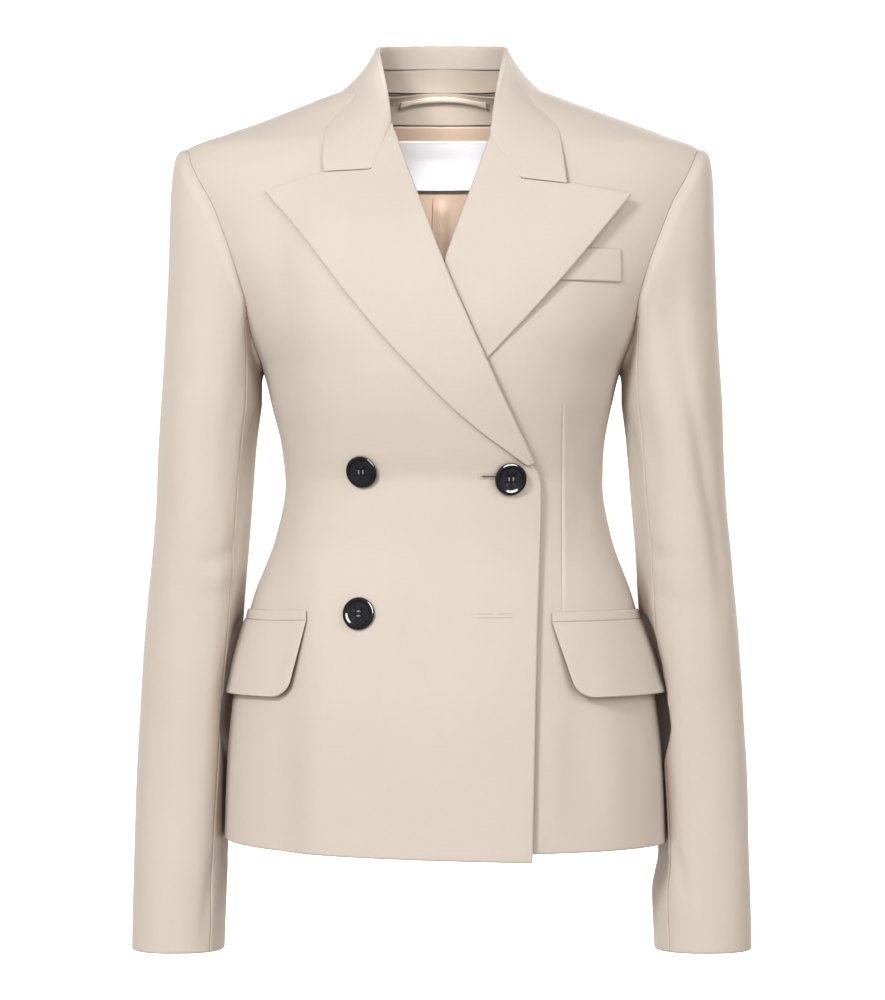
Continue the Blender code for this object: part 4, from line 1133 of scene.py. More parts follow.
def make_facing():
    share = np.linspace(-1, 1, 90)[None]
    rise = crowded("facing_rows", NEAR_NARROW)[:, None]
    top = mix(CENTRE_BACK["neck"], NECK_POINT[1], np.abs(share)) + FACING_OVER_SEAM
    bottom = mix(FACING_BOTTOM["centre"], FACING_BOTTOM["end"], share * share)
    z = mix(bottom, top, rise)
    cells = np.stack([np.broadcast_to(FACING_TURN * share, z.shape), z], -1)
    layer("back_neck_facing", FACING, cells, facing_depth, FACING_THICKNESS, flat=("top", "bottom"))


def pleat(turn, z):
    """How far the lining's centre pleat lifts it off the back."""
    across = BODY.at(z)[1] * np.sin(np.radians(turn))
    along = ramp(PLEAT_TOP - z, 0, 12) * ramp(z, PLEAT_END, -150)
    return PLEAT_DEEP * ramp(PLEAT_WIDE - np.abs(across), 0, PLEAT_WIDE) * along


def lining_depth(turn, z):
    loose = np.maximum(ramp(-z, 20, 140), ramp(np.abs(turn), 25, 65))
    return LINING_DEPTH + LINING_LOOSE * loose + pleat(turn, z)


def on_lining(turn, z):
    return lining_depth(turn, z) + LINING


def make_lining():
    shares = 1 - (1 - np.linspace(0, 1, 120)) ** LINING_CROWDING
    turn, z_edge = along_path(LINING_EDGE, shares).T[:, :, None]
    z_centre = mix(LINING_HEM, FACING_BOTTOM["centre"] - 1.0, shares)[:, None]
    outer = np.linspace(1, 0.08, 34)
    share = np.concatenate([-outer, np.linspace(-0.07, 0.07, 15), outer[::-1]])
    z = mix(z_centre, z_edge - 1.0, share[None] ** 2)
    cells = np.stack([turn * share[None], z], -1)
    across = 100 * np.sin(np.radians(cells[..., 0]))
    relief = uneven("lining", across, z) * ramp(-z, 70, 130) * ramp(np.abs(across), 6, 26)
    layer("back_lining", SATIN, cells, lining_depth, LINING, relief)


def make_pleat_edge():
    """A line of painted shadow under the edge of the lining's centre pleat."""
    z = np.linspace(PLEAT_TOP, PLEAT_EDGE["bottom"], 40)
    x = PLEAT_EDGE["x"] + PLEAT_EDGE["sway"] * np.sin((z + 70) / 17)
    points, _ = layer_points(back_cells(x, z), on_lining)
    make_threads("lining_pleat_edge_shadow", [points])


def label_depth(turn, z):
    return on_lining(turn, z) + LABEL["lay"]


def make_label():
    """The label, which is blank."""
    x = mix(LABEL["left"], LABEL["right"], crowded("label_columns"))[None]
    z = mix(LABEL["bottom"], LABEL["top"], crowded("label_rows"))[:, None]
    relief = uneven("label", *np.broadcast_arrays(x, z))
    layer("label", LABEL_WHITE, back_cells(x, z), label_depth, LABEL["thickness"], relief)


def loop_point(k, low, extra):
    """A point of the hanger loop: k from its left end to its right, low from its lower edge (-0.5) up."""
    arch = np.sin(math.pi * k)
    x = mix(LOOP["left"], LOOP["right"], k)
    tall = mix(LOOP_END_TALL, LOOP["tall"], ramp(np.minimum(k, 1 - k), 0.0, 0.16))
    cells = back_cells(x, LOOP["foot"] + LOOP["rise"] * arch + low * tall)
    beyond = FACING_THICKNESS + LAY + LOOP["proud"] * arch**0.5 + extra
    return layer_points(cells, lambda turn, z: facing_depth(turn, z) + beyond)


def make_hanger_loop():
    k = np.linspace(0, 1, 60)[None]
    low = np.linspace(-0.5, 0.5, 11)[:, None]
    points, out = loop_point(*np.broadcast_arrays(k, low), LOOP["thickness"])
    relief = np.broadcast_to(LOOP_PUFF * np.cos(math.pi * low) - LOOP_PUFF, points.shape[:2])
    shell(
        "hanger_loop", LOOP_CREAM, points, -out, ("bottom", "top"), (), relief,
        thickness=LOOP["thickness"], back_relief=0.0,
    )


# Pockets


def flap_inner_edge(side, v):
    """How far across a flap's inner edge lies, v from its top to its rounded lower corner."""
    top, bottom = FLAP_INNER[side]
    round_share = FLAP_CORNER / (FLAP_TOP - FLAP_BOTTOM)
    t = np.clip(np.maximum(v - (1 - round_share), 0.0) / round_share, 0, 1)
    return mix(top, bottom, v) + FLAP_CORNER * (1 - np.sqrt(1 - t**2))


def pocket_cells(side, z, inner, shares):
    """Turns and heights of a pocket's pieces, from the inner edge round to beside the side seam."""
    start = np.abs(turn_at(SIGN[side] * inner, z))[:, None]
    turn = SIGN[side] * mix(start, FLAP_OUTER_TURN, shares[None])
    return np.stack([turn, np.broadcast_to(z[:, None], turn.shape)], -1)


def make_flap(side):
    v = np.unique(np.concatenate([crowded("flap_rows"), 1 - 0.2 * (1 - np.linspace(0, 1, 14) ** 0.6)]))
    z = mix(FLAP_TOP, FLAP_BOTTOM, v)
    shares = crowded("pocket_columns")
    cells = pocket_cells(side, z, flap_inner_edge(side, v), shares)
    lift = mix(FLAP_LIFT[0], FLAP_LIFT[1], shares)[None]
    heights = TRIM_LAY + CLOTH + FLAP_STANDS_OFF[side] * v[:, None] * lift
    points = on_body(side, cells[..., 0], cells[..., 1], heights)
    normals = outward(cells[..., 0], cells[..., 1])
    far = edge_distances(points)
    inner_edge = np.minimum(np.minimum(far["first"], far["last"]), far["top"])
    relief = uneven("flap", points[..., 0], points[..., 2], SIGN[side]) * ramp(inner_edge, 2, 16)
    relief = relief + 0.25 * np.exp(-(((inner_edge - 4.5) / 2.4) ** 2)) * ramp(far["bottom"], 5, 14)
    shell(f"{side}_pocket_flap", SUITING, points, normals, relief=relief)


def make_jet(side):
    z = mix(JET["bottom"], JET["top"], crowded("jet_rows", NEAR_NARROW))
    cells = pocket_cells(side, z, np.full(len(z), FLAP_INNER[side][0]), crowded("pocket_columns"))
    thickness = JET["thickness"]
    body_shell(f"{side}_pocket_jet", side, cells, lift=TRIM_LAY + thickness, thickness=thickness)


def make_pocket_slit(side):
    """A dark line of painted shade in the opening between a jet and the top of its flap."""
    z = np.full(50, (JET["bottom"] + FLAP_TOP) / 2)
    turn = np.linspace(np.abs(turn_at(SIGN[side] * FLAP_INNER[side][0], z[0])) + 0.4, FLAP_OUTER_TURN - 1.5, 50)
    make_threads(f"{side}_pocket_slit", [on_body(side, SIGN[side] * turn, z, SLIT_HIGH)], "slit")


def make_welt():
    v = crowded("welt_rows")
    z = mix(WELT["bottom"], WELT["top"], v)[:, None]
    inner = mix(WELT["inner_bottom"], WELT["inner_top"], v)[:, None]
    x = mix(inner, WELT["outer"], crowded("welt_columns")[None])
    z = np.broadcast_to(z, x.shape)
    cells = np.stack([turn_at(x, z), z], -1)
    body_shell("breast_welt", "left", cells, lift=TRIM_LAY + CLOTH)


# Stitches


def make_threads(name, lines, kind=None):
    """Round threads, or dark lines of painted shadow, along lines of points, their ends drawn in and closed."""
    radius, material = THREADS[kind or name]
    verts, polys, start = [], [], 0
    angle = np.linspace(0, 2 * math.pi, THREAD_SIDES, endpoint=False)
    for line in lines:
        line = np.asarray(line, float)
        along = unit(np.gradient(line, axis=0))
        helper = np.where(np.abs(along[:, 2:]) > 0.8, np.array([[1.0, 0, 0]]), np.array([[0, 0, 1.0]]))
        a = unit(np.cross(along, helper))
        b = np.cross(along, a)
        thick = radius * np.sqrt(np.clip(1 - np.linspace(-0.97, 0.97, len(line)) ** 6, 0.05, 1))
        ring = np.cos(angle)[None, :, None] * a[:, None] + np.sin(angle)[None, :, None] * b[:, None]
        verts.append((line[:, None] + thick[:, None, None] * ring).reshape(-1, 3))
        polys += round_faces(start, len(line), THREAD_SIDES)
        end = start + len(line) * THREAD_SIDES
        polys += [tuple(range(start, start + THREAD_SIDES)), tuple(range(end - 1, end - THREAD_SIDES - 1, -1))]
        start = end
    add_piece(name, np.concatenate(verts), polys, material)


def round_faces(start, rows, sides):
    """The faces between rings of vertices, numbered from the start."""
    faces = []
    for i in range(rows - 1):
        for k in range(sides):
            p, q = start + i * sides + k, start + i * sides + (k + 1) % sides
            faces.append((p, p + sides, q + sides, q))
    return faces


def stitch(start, end, rise, place):
    """A stitch between two places, arching off the cloth: place(a, b, height) gives the point."""
    t = np.linspace(0, 1, 6)
    a, b = mix(start[0], end[0], t), mix(start[1], end[1], t)
    return place(a, b, rise * np.sin(math.pi * t) ** 0.6 - 0.1)


def on_right_front(across, z, height):
    return on_front("right", across, z, height)


def make_buttonhole():
    """The worked hole beside the fastened button: a dark line of painted shade in its slit, with stitches round it
    and their outline.
    """
    z, inner, outer = BUTTONHOLE["z"], BUTTONHOLE["inner"], BUTTONHOLE["outer"]
    place = on_right_front
    lines = []
    for across in np.arange(inner, outer, BUTTONHOLE["pitch"]):
        for way in (1, -1):
            start = (across, z + way * BUTTONHOLE["from"])
            end = (across + BUTTONHOLE["slant"], z + way * BUTTONHOLE["to"])
            lines.append(stitch(start, end, 0.35, place))
    for off in np.linspace(-HOLE_BAR["half"], HOLE_BAR["half"], HOLE_BAR["stitches"]):
        lines.append(stitch((outer + HOLE_BAR["from"], z + off), (outer + HOLE_BAR["to"], z + off), 0.2, place))
    make_threads("buttonhole_stitches", lines)
    half, end, off = HOLE_OUTLINE["half"], HOLE_OUTLINE["end"], HOLE_OUTLINE["off"]
    lines = [place(np.linspace(inner, outer + 2.4, 30), np.full(30, z + way * half), off) for way in (-1, 1)]
    lines.append(place(np.full(12, outer + half), z + np.linspace(-end, end, 12), off))
    make_threads("buttonhole_outline", lines)
    # The slit's darkness is a line of painted shade.
    make_threads("buttonhole_slit_shadow", [place(np.linspace(inner, outer, 30), np.full(30, z), HOLE_SLIT_OFF)])


def make_closed_hole():
    """Two rows of stitches that stay where the fourth button would fasten, the upper one with a gap."""
    (upper, lower), (gap_from, gap_to) = CLOSED_HOLE["rows"], CLOSED_HOLE["gap"]
    lines = []
    for z in (upper, lower):
        for across in np.arange(CLOSED_HOLE["inner"], CLOSED_HOLE["outer"], CLOSED_HOLE["pitch"]):
            if not gap_from < across < gap_to or z == lower:
                lines.append(stitch((across, z), (across + 1.1, z + 0.1), 0.12, on_right_front))
    make_threads("closed_buttonhole", lines)


def make_stand_stitches():
    """Running stitches on both sides of the seam between the collar and its stand."""
    stations = np.linspace(STAND_FROM + 3, CENTRE_STATION, STAND_STITCHES["count"])
    t = np.linspace(STAND_STITCHES["from"], STAND_STITCHES["to"], 5)[:, None]
    arch = STAND_STITCHES["rise"] * np.sin(math.pi * np.linspace(0, 1, 5))[:, None]
    lines = []
    for side in SIGN:
        seam, turned = np.moveaxis(collar_rows(side, stations, np.array([0.0, 0.35])), 1, 0)
        above = mix(seam, turned, STAND_STITCHES["above"])
        below = mix(seam, stand_foot(side, stations), STAND_STITCHES["below"])
        for i in range(len(stations) - 1):
            for row in (above, below):
                a, b = row[i], row[i + 1]
                lines.append(a * (1 - t) + b * t - unit(a * LEVEL) * arch)
    make_threads("stand_stitches", lines)


def make_loop_stitches():
    """The tacks of the hanger loop's ends, and the stitches along its edges."""
    reach, apart = LOOP_TACKS["reach"], LOOP_TACKS["apart"]
    low = np.linspace(-reach, reach, 7)
    over = LOOP["thickness"] + 0.25 - 0.3 * (np.abs(low) > 0.55)
    tacks = [k + off for k in LOOP_TACKS["ends"] for off in np.linspace(-apart, apart, LOOP_TACKS["count"])]
    make_threads("hanger_loop_tacks", [loop_point(np.full(7, k), low, over)[0] for k in tacks])
    over = LOOP["thickness"] + LOOP_STITCHES["rise"] * np.sin(math.pi * np.linspace(0, 1, 5))
    starts = np.arange(LOOP_STITCHES["from"], LOOP_STITCHES["to"], LOOP_STITCHES["pitch"])
    lines = []
    for low in LOOP_STITCHES["rows"]:
        for start in starts:
            k = np.linspace(start, start + LOOP_STITCHES["long"], 5)
            lines.append(loop_point(k, np.full(5, low), over)[0])
    make_threads("hanger_loop_stitches", lines)


def make_label_stitches():
    """The stitches that hold the blank label along its edges, and a dark line of painted shadow under its lower
    one.
    """

    def place(x, z, height):
        return layer_points(back_cells(x, z), lambda turn, z: label_depth(turn, z) + LABEL["thickness"] + height)[0]

    lines = []
    for x in np.arange(LABEL["left"] + 1.0, LABEL["right"] - 2.0, LABEL_STITCHES["pitch"]):
        for z in (LABEL["bottom"] + LABEL_STITCHES["in"], LABEL["top"] - LABEL_STITCHES["in"]):
            lines.append(stitch((x, z), (x + LABEL_STITCHES["long"], z), 0.2, place))
    make_threads("label_stitches", lines)
    # A dark line of painted shadow under the label's lower edge.
    x = np.linspace(LABEL["left"] + 0.3, LABEL["right"] - 0.3, 60)
    make_threads("label_lower_edge_shadow", [place(x, LABEL["bottom"] + 0.1, 0.12)])


# Buttons


def button_frame(name):
    """The middle of a button's underside and which way it faces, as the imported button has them."""
    across, z = BUTTONS[name]
    angle = np.radians(30 * np.arange(12))
    rim_z = z + BUTTON_RADIUS * np.sin(angle)
    turn = turn_at(-(across + BUTTON_RADIUS * np.cos(angle)), rim_z)
    rim = form(turn, rim_z)
    rim = rim + overlap("right", rim[:, 0], rim_z)[:, None] * outward(turn, rim_z)
    out = unit(np.cross(rim[3] - rim[9], rim[0] - rim[6]))
    low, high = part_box(name)
    return np.array((low + high) / 2) / MM - BUTTON_HALF * out, out


def make_button(name, upright):
    """A button with a dished face and four holes, its thread upright or level, and the thread under it."""
    base, out = button_frame(name)
    side = unit(np.cross(out, np.array((0.0, 0, 1.0))))
    up = np.cross(side, out)
    if not upright:
        side, up = up, -side

    def place(a, b, height):
        a, b, height = np.broadcast_arrays(a, b, height)
        return base + a[..., None] * side + b[..., None] * up + height[..., None] * out

    face = np.linspace(0.25, 3.3, 16)[:, None] * [1, 0] + [0, BUTTON_FACE]
    radius, height = np.concatenate([face, BUTTON_PROFILE]).T[:, :, None]
    angle = np.linspace(0, 2 * math.pi, BUTTON_SIDES, endpoint=False)
    a, b = radius * np.cos(angle), radius * np.sin(angle)
    high = np.repeat(height, BUTTON_SIDES, axis=1)
    on_face = (radius < 4) & (height > 1.9)
    for x in (-HOLE_OFF, HOLE_OFF):
        for y in (-HOLE_OFF, HOLE_OFF):
            pit = ramp(HOLE_RADIUS + HOLE_EDGE - np.hypot(a - x, b - y), 0, 0.55)
            high = high - HOLE_DEPTH * pit * on_face
    count = high.size
    verts = [place(a, b, high).reshape(-1, 3), place(0.0, 0.0, BUTTON_FACE)[None], base[None]]
    polys = round_faces(0, len(radius), BUTTON_SIDES)
    for k in range(BUTTON_SIDES):
        n = (k + 1) % BUTTON_SIDES
        polys += [(count, k, n), (count - BUTTON_SIDES + n, count - BUTTON_SIDES + k, count + 1)]
    piece = add_piece(name + "_resin", np.concatenate(verts), polys, RESIN, name)
    polish = (high > POLISHED["above"]) & (radius > POLISHED["from"]) & (radius < POLISHED["to"])
    spread = piece.data.attributes.new("polish", "FLOAT", "POINT")
    spread.data.foreach_set("value", np.append(polish, (0.0, 0.0)).astype(np.float32))
    t = np.linspace(-1, 1, 9)
    lines = []
    for x in (-HOLE_OFF, HOLE_OFF):
        for off in THREAD_OFFS:
            lines.append(place(x + off * (1 - 0.3 * t * t), HOLE_OFF * t, 2.45 - 1.3 * np.abs(t) ** 5))
    make_threads(name + "_thread", lines, "button_thread")
    turns = 2 * math.pi * np.arange(SHANK["threads"]) / SHANK["threads"]
    radius, height = SHANK["radius"], np.linspace(SHANK["from"], SHANK["to"], 5)
    shank = [place(radius * math.cos(turn), radius * math.sin(turn), height) for turn in turns]
    make_threads(name + "_shank", shank, "button_shank")


# Materials


class Nodes:
    """Adds nodes to a material and joins them."""

    def __init__(self, name):
        self.material = bpy.data.materials.new(name)
        self.material.use_nodes = True
        self.tree = self.material.node_tree
        self.shader = self.tree.nodes["Principled BSDF"]

    def add(self, kind, settings=None, **inputs):
        node = self.tree.nodes.new("ShaderNode" + kind)
        for key, value in (settings or {}).items():
            setattr(node, key, value)
        for key, value in inputs.items():
            self.put(node.inputs[key.replace("_", " ")], value)
        return node

    def put(self, socket, value):
        if isinstance(value, bpy.types.NodeSocket):
            self.tree.links.new(value, socket)
        else:
            socket.default_value = value

    def math(self, operation, a, b=0.0):
        node = self.tree.nodes.new("ShaderNodeMath")
        node.operation = operation
        self.put(node.inputs[0], a)
        self.put(node.inputs[1], b)
        return node.outputs[0]

    def weighted(self, *parts):
        """The sum of values, each times its weight."""
        total = None
        for value, weight in parts:
            part = self.math("MULTIPLY", value, weight)
            total = part if total is None else self.math("ADD", total, part)
        return total

    def noise(self, vector, scale, detail=3.0, rough=0.55):
        node = self.add("TexNoise", None, Vector=vector, Scale=scale, Detail=detail, Roughness=rough)
        return node.outputs["Fac"]

    def bands(self, vector, pitch, direction, distortion=0.0):
        """Threads that lie side by side at a pitch."""
        scale = 2 * math.pi / ((10 if direction == "DIAGONAL" else 20) * pitch)
        settings = {"wave_type": "BANDS", "bands_direction": direction}
        node = self.add("TexWave", settings, Vector=vector, Scale=scale, Distortion=distortion)
        self.put(node.inputs["Detail Scale"], 1.0)
        return node.outputs["Fac"]

    def blend(self, fac, a, b):
        node = self.add("Mix", {"data_type": "RGBA"})
        self.put(node.inputs["Factor"], fac)
        self.put(node.inputs[6], (*a, 1.0) if isinstance(a, tuple) else a)
        self.put(node.inputs[7], (*b, 1.0) if isinstance(b, tuple) else b)
        return node.outputs[2]

    def between(self, value, low, high):
        return self.add("MapRange", None, Value=value, To_Min=low, To_Max=high).outputs["Result"]

    def bump(self, height, distance, strength=1.0, normal=None):
        node = self.add("Bump", None, Height=height, Distance=distance, Strength=strength)
        if normal is not None:
            self.put(node.inputs["Normal"], normal)
        return node.outputs["Normal"]

    def set(self, **inputs):
        """Sets the shader's own sockets."""
        for key, value in inputs.items():
            self.put(self.shader.inputs[key.replace("_", " ")], value)


def cloth_places(n):
    return n.add("UVMap", {"uv_map": "Cloth"}).outputs["UV"], n.add("TexCoord").outputs["Object"]


def make_suiting(name, light, deep, hollow):
    """Smooth worsted: a fine twill, a faint nap, tones that change a little, and painted shade, darker and warmer,
    in the hollows that an ambient occlusion node finds.
    """
    n = Nodes(name)
    cloth, place = cloth_places(n)
    twill = n.bands(cloth, 0.55, "DIAGONAL", 0.4)
    warp = n.bands(cloth, 0.275, "X", 0.3)
    yarn = n.weighted((twill, 0.65), (warp, 0.35))
    slub = n.noise(n.add("Mapping", None, Vector=cloth, Scale=(1.6, 0.16, 1.0)).outputs[0], 1.0, 3.0)
    tone = n.noise(place, 9.0, 3.0)
    nap = n.noise(place, 900.0, 3.0)
    mixed = n.weighted((slub, 0.34), (tone, 0.4), (yarn, 0.16), (nap, 0.1))
    colour = n.blend(n.between(mixed, -0.35, 1.35), deep, light)
    normal = n.bump(yarn, 0.00006, 0.55)
    normal = n.bump(nap, 0.00010, 0.35, normal)
    normal = n.bump(n.noise(place, 55.0, 2.0), 0.0006, 0.35, normal)
    # Painted shade: the hollow colour is blended in where the cloth is occluded close by.
    open_air = n.add("AmbientOcclusion", {"samples": 8}, Distance=0.02).outputs["AO"]
    shade = n.add("MapRange", None, Value=open_air, From_Min=0.1, From_Max=0.7).outputs["Result"]
    colour = n.blend(shade, hollow, colour)
    n.set(Base_Color=colour, Roughness=n.between(n.math("ADD", slub, yarn), 0.62, 0.92), Normal=normal)
    n.set(Sheen_Weight=0.3, Sheen_Roughness=0.5, Sheen_Tint=(1.0, 0.97, 0.93, 1.0), IOR=1.4)
    n.set(Specular_IOR_Level=0.25)
    return n.material


def make_satin(name, deep, light):
    """Peach satin lining: fine close threads one way, so its gloss runs in soft streaks."""
    n = Nodes(name)
    cloth, place = cloth_places(n)
    threads = n.bands(cloth, 0.3, "X", 0.6)
    streak = n.noise(n.add("Mapping", None, Vector=cloth, Scale=(0.35, 0.02, 1.0)).outputs[0], 1.0, 4.0)
    tone = n.noise(place, 26.0, 3.0)
    colour = n.blend(n.weighted((streak, 0.5), (tone, 0.5)), deep, light)
    normal = n.bump(threads, 0.00003, 0.5)
    normal = n.bump(n.noise(place, 120.0, 2.0), 0.0004, 0.4, normal)
    n.set(Base_Color=colour, Roughness=n.between(streak, 0.36, 0.54), Normal=normal)
    n.set(Anisotropic=0.5, Sheen_Weight=0.1, Specular_IOR_Level=0.12)
    return n.material


def make_woven(name, light, deep, pitch, rough):
    """A close plain weave of two thread directions, for the label, the loop and the facing."""
    n = Nodes(name)
    cloth, place = cloth_places(n)
    yarn = n.math("MULTIPLY", n.bands(cloth, pitch, "Y", 0.2), n.bands(cloth, pitch, "X", 0.2))
    tone = n.noise(place, 60.0, 3.0)
    mixed = n.weighted((yarn, 0.45), (tone, 0.55))
    normal = n.bump(yarn, 0.00008, 0.6)
    n.set(Base_Color=n.blend(mixed, deep, light), Roughness=n.between(tone, rough - 0.08, rough + 0.08))
    n.set(Normal=normal, Sheen_Weight=0.15)
    return n.material


def make_thread(name, light, deep, rough=0.6):
    """Twisted sewing thread, also used for the dark lines of painted shadow."""
    n = Nodes(name)
    place = n.add("TexCoord").outputs["Object"]
    twist = n.bands(place, 0.0004, "DIAGONAL", 0.5)
    tone = n.noise(place, 500.0, 2.0)
    colour = n.blend(n.weighted((twist, 0.5), (tone, 0.5)), deep, light)
    rough = n.between(tone, rough - 0.1, rough + 0.1)
    n.set(Base_Color=colour, Roughness=rough, Normal=n.bump(twist, 0.00005, 0.6), Sheen_Weight=0.2)
    return n.material


def make_resin(name, deep, light):
    """Near-black resin with a faint swirl and the small scratches of handling, polished on the rim."""
    n = Nodes(name)
    place = n.add("TexCoord").outputs["Object"]
    swirl = n.noise(place, 160.0, 4.0, 0.6)
    fine = n.noise(place, 1400.0, 3.0)
    colour = n.blend(swirl, deep, light)
    n.set(Base_Color=colour, Roughness=n.between(fine, 0.36, 0.5), Normal=n.bump(fine, 0.00002, 0.2))
    rim = n.add("Attribute", {"attribute_name": "polish"}).outputs["Fac"]
    n.set(Coat_Weight=n.between(rim, 0.0, 1.0), Coat_Roughness=0.05, Coat_IOR=2.0, IOR=1.5)
    n.set(Specular_IOR_Level=0.12)
    return n.material


# The last colour is the painted shade laid into the suiting's hollows.
SUITING = make_suiting("suiting_worsted", (0.655, 0.592, 0.520), (0.595, 0.532, 0.462), (0.30, 0.19, 0.135))
FACING = make_woven("facing_twill", (0.59, 0.51, 0.43), (0.525, 0.445, 0.365), 0.5, 0.7)
SATIN = make_satin("lining_satin", (0.53, 0.375, 0.265), (0.66, 0.53, 0.43))
LABEL_WHITE = make_woven("label_weave", (0.93, 0.935, 0.965), (0.88, 0.885, 0.92), 0.35, 0.5)
LOOP_CREAM = make_woven("loop_twill", (0.86, 0.78, 0.68), (0.79, 0.70, 0.60), 0.5, 0.7)
THREAD_PALE = make_thread("thread_pale", (0.74, 0.67, 0.59), (0.66, 0.59, 0.51))
THREAD_SAND = make_thread("thread_sand", (0.46, 0.34, 0.24), (0.34, 0.25, 0.17))
THREAD_WHITE = make_thread("thread_white", (0.86, 0.85, 0.83), (0.74, 0.73, 0.71))
THREAD_GREY = make_thread("thread_grey", (0.34, 0.34, 0.37), (0.13, 0.13, 0.15))
# The next three are not thread: they colour the dark lines of painted shadow in slits and under edges.
SHADOW_BROWN = make_thread("painted_shadow_brown", (0.20, 0.135, 0.095), (0.13, 0.085, 0.06), 0.8)
SHADOW_RUST = make_thread("painted_shadow_rust", (0.46, 0.21, 0.12), (0.34, 0.14, 0.08), 0.8)
SHADOW_DARK = make_thread("painted_shadow_dark", (0.10, 0.065, 0.045), (0.04, 0.025, 0.018), 0.8)
RESIN = make_resin("button_resin_black", (0.012, 0.012, 0.014), (0.030, 0.031, 0.034))

# Threads, and the dark lines of painted shadow in slits and under edges: radius and material
THREADS = {
    "slit": (0.4, SHADOW_BROWN),
    "lining_pleat_edge_shadow": (0.6, SHADOW_RUST),
    "buttonhole_stitches": (0.24, THREAD_PALE),
    "buttonhole_outline": (0.15, THREAD_SAND),
    "buttonhole_slit_shadow": (0.6, SHADOW_DARK),
    "closed_buttonhole": (0.28, THREAD_SAND),
    "stand_stitches": (0.2, THREAD_SAND),
    "hanger_loop_tacks": (0.26, THREAD_SAND),
    "hanger_loop_stitches": (0.15, THREAD_SAND),
    "label_stitches": (0.16, THREAD_WHITE),
    "label_lower_edge_shadow": (0.34, SHADOW_DARK),
    "button_thread": (0.2, THREAD_GREY),
    "button_shank": (0.5, THREAD_GREY),
}


# The blazer


for each_side in SIGN:
    for make in (
        make_front, make_back, make_sleeve, make_lapel, make_jet, make_flap, make_pocket_slit, make_notch_slit,
    ):
        make(each_side)
make_collar()
make_stand()
make_facing()
make_lining()
make_pleat_edge()
make_label()
make_hanger_loop()
make_welt()
make_buttonhole()
make_closed_hole()
make_stand_stitches()
make_loop_stitches()
make_label_stitches()
for button in BUTTONS:
    make_button(button, upright=button != "lower_button")

# Each piece of cloth: its slot, the flat width and length that it was cut from, the share of that
# rectangle that its own outline takes up, how it is held and what it lies on.
SHEETS = {
    "right_front_cloth": ("suiting", (0.310, 0.640), 0.78, "hung", ()),
    "left_front_cloth": ("suiting", (0.300, 0.630), 0.79, "hung", ()),
    "right_back_cloth": ("suiting", (0.235, 0.620), 0.86, "hung", ()),
    "left_back_cloth": ("suiting", (0.235, 0.620), 0.86, "hung", ()),
    "right_top_sleeve_cloth": ("suiting", (0.185, 0.660), 0.84, "hung", ()),
    "left_top_sleeve_cloth": ("suiting", (0.185, 0.660), 0.84, "hung", ()),
    "right_under_sleeve_cloth": ("suiting", (0.145, 0.560), 0.83, "hung", ()),
    "left_under_sleeve_cloth": ("suiting", (0.145, 0.560), 0.83, "hung", ()),
    "right_lapel_cloth": ("suiting", (0.115, 0.330), 0.52, "folded", ("right_front_cloth",)),
    "left_lapel_cloth": ("suiting", (0.115, 0.330), 0.50, "folded", ("left_front_cloth",)),
    "collar_cloth": ("suiting", (0.090, 0.420), 0.83, "folded", ("right_back_cloth", "left_back_cloth")),
    "collar_stand_cloth": ("suiting", (0.020, 0.320), 0.82, "folded", ("collar_cloth",)),
    "right_pocket_flap_cloth": ("suiting", (0.062, 0.135), 0.85, "hung", ("right_front_cloth",)),
    "left_pocket_flap_cloth": ("suiting", (0.062, 0.155), 0.88, "hung", ("left_front_cloth",)),
    "right_pocket_jet_cloth": ("suiting", (0.010, 0.140), 0.67, "laid", ("right_front_cloth",)),
    "left_pocket_jet_cloth": ("suiting", (0.010, 0.160), 0.69, "laid", ("left_front_cloth",)),
    "breast_welt_cloth": ("suiting", (0.026, 0.058), 0.94, "laid", ("left_front_cloth",)),
    "back_neck_facing_cloth": ("suiting", (0.026, 0.270), 0.88, "laid", ("right_back_cloth", "left_back_cloth")),
    "back_lining_cloth": ("satin_lining", (0.440, 0.580), 0.78, "hung", ("right_back_cloth", "left_back_cloth")),
    "label_cloth": ("woven_label", (0.041, 0.083), 1.0, "laid", ("back_lining_cloth",)),
    "hanger_loop_cloth": ("suiting", (0.010, 0.082), 0.44, "hung", ("back_neck_facing_cloth",)),
}

for name, (slot, (width, length), share, held, under) in SHEETS.items():
    list(under)


# Floor, light and camera


FLOOR_SIZE, FLOOR_Z = 40, -0.80
STUDIO_WHITE = (0.985, 1.01, 1.035)
NECK_WHITE = (1.0, 0.99, 0.98)
WORLD_COLOUR = (1.0, 0.905, 0.84, 1.0)
SKY, HORIZON, HORIZON_TO_SKY = 0.30, 1.46, (0.14, 0.30)
MIDDLE = (0, 0, -0.3)
# Place, target, size, power, colour, spread in degrees, and the rays that a light is hidden from
LIGHTS = {
    "key": ((-1.5, -3.0, 1.3), MIDDLE, 0.7, 75, STUDIO_WHITE, 180, "glossy"),
    "fill": ((2.1, -2.4, 1.35), MIDDLE, 1.4, 21, STUDIO_WHITE, 180, "glossy"),
    "front": ((-0.2, -3.5, 0.2), (0, 0, -0.2), 1.0, 14, STUDIO_WHITE, 180, "glossy"),
    "softbox": ((1.3, -2.5, 1.6), MIDDLE, 3.0, 200, STUDIO_WHITE, 180, "diffuse"),
    "neck": ((-0.02, -0.66, 0.46), (0, 0.075, -0.054), 0.03, 0.027, NECK_WHITE, 8, None),
    "back_key": ((1.5, 3.0, 1.1), MIDDLE, 1.0, 66, STUDIO_WHITE, 180, None),
    "back_fill": ((-1.9, 2.9, 0.3), MIDDLE, 1.6, 26, STUDIO_WHITE, 180, None),
}
EYE = (0.0006, -3.0, -0.3224)


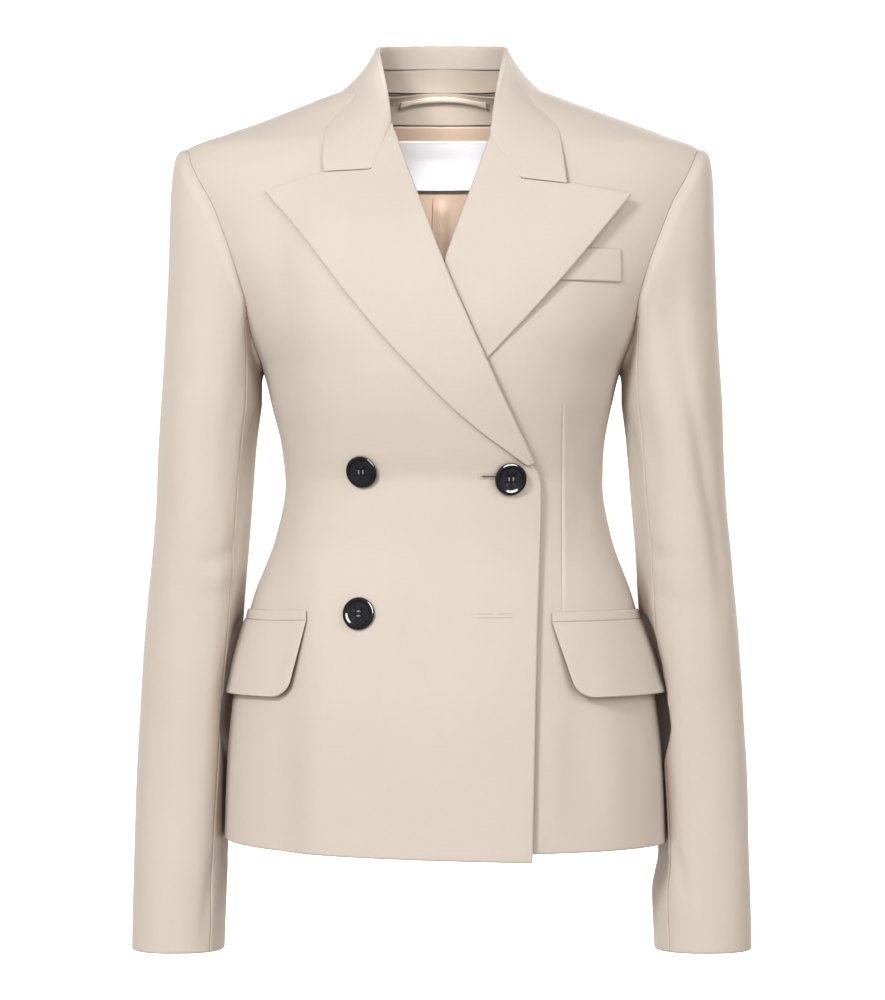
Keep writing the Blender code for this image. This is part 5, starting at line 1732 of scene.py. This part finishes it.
def make_floor():
    bpy.ops.mesh.primitive_plane_add(size=FLOOR_SIZE, location=(0, 0, FLOOR_Z))
    floor = bpy.context.object
    floor.name = "floor"
    n = Nodes("pale_floor")
    tone = n.noise(n.add("TexCoord").outputs["Object"], 3.0, 2.0)
    n.set(Base_Color=n.blend(tone, (0.90, 0.90, 0.90), (0.94, 0.94, 0.94)), Roughness=0.9)
    n.set(Emission_Color=(1.0, 1.0, 1.0, 1.0), Emission_Strength=0.8)
    floor.data.materials.append(n.material)
    floor.visible_diffuse = False
    floor.visible_glossy = False


def make_light(name, place, target, size, power, colour, spread, hidden):
    light = bpy.data.lights.new(name, "AREA")
    light.spread = math.radians(spread)
    light.shape = "DISK"
    light.size = size
    light.energy = power
    light.color = colour
    lamp = bpy.data.objects.new(name, light)
    bpy.context.scene.collection.objects.link(lamp)
    lamp.location = place
    lamp.rotation_euler = (Vector(target) - Vector(place)).to_track_quat("-Z", "Y").to_euler()
    lamp.visible_camera = False
    if hidden:
        setattr(lamp, "visible_" + hidden, False)


def make_world():
    """A white studio: bright round the horizon, dimmer above and below."""
    world = bpy.data.worlds.new("studio")
    world.use_nodes = True
    tree = world.node_tree
    place = tree.nodes.new("ShaderNodeTexCoord")
    parts = tree.nodes.new("ShaderNodeSeparateXYZ")
    tree.links.new(place.outputs["Generated"], parts.inputs[0])
    height = tree.nodes.new("ShaderNodeMath")
    height.operation = "ABSOLUTE"
    tree.links.new(parts.outputs["Z"], height.inputs[0])
    fall = tree.nodes.new("ShaderNodeMapRange")
    fall.interpolation_type = "SMOOTHSTEP"
    sockets = ("From Min", "From Max", "To Min", "To Max")
    for socket, value in zip(sockets, (*HORIZON_TO_SKY, HORIZON, SKY)):
        fall.inputs[socket].default_value = value
    tree.links.new(height.outputs[0], fall.inputs["Value"])
    background = tree.nodes["Background"]
    background.inputs["Color"].default_value = WORLD_COLOUR
    tree.links.new(fall.outputs["Result"], background.inputs["Strength"])
    bpy.context.scene.world = world
    world.cycles_visibility.glossy = False


def make_camera():
    camera = bpy.data.cameras.new("camera")
    camera.lens = 135
    camera.sensor_width = 36
    camera.clip_end = 100
    eye = bpy.data.objects.new("camera", camera)
    eye.location = EYE
    eye.rotation_euler = (math.radians(90), 0, 0)
    bpy.context.scene.collection.objects.link(eye)
    bpy.context.scene.camera = eye


make_floor()
make_world()
for name, settings in LIGHTS.items():
    make_light(name, *settings)
make_camera()
bpy.context.scene.view_settings.view_transform = "Standard"
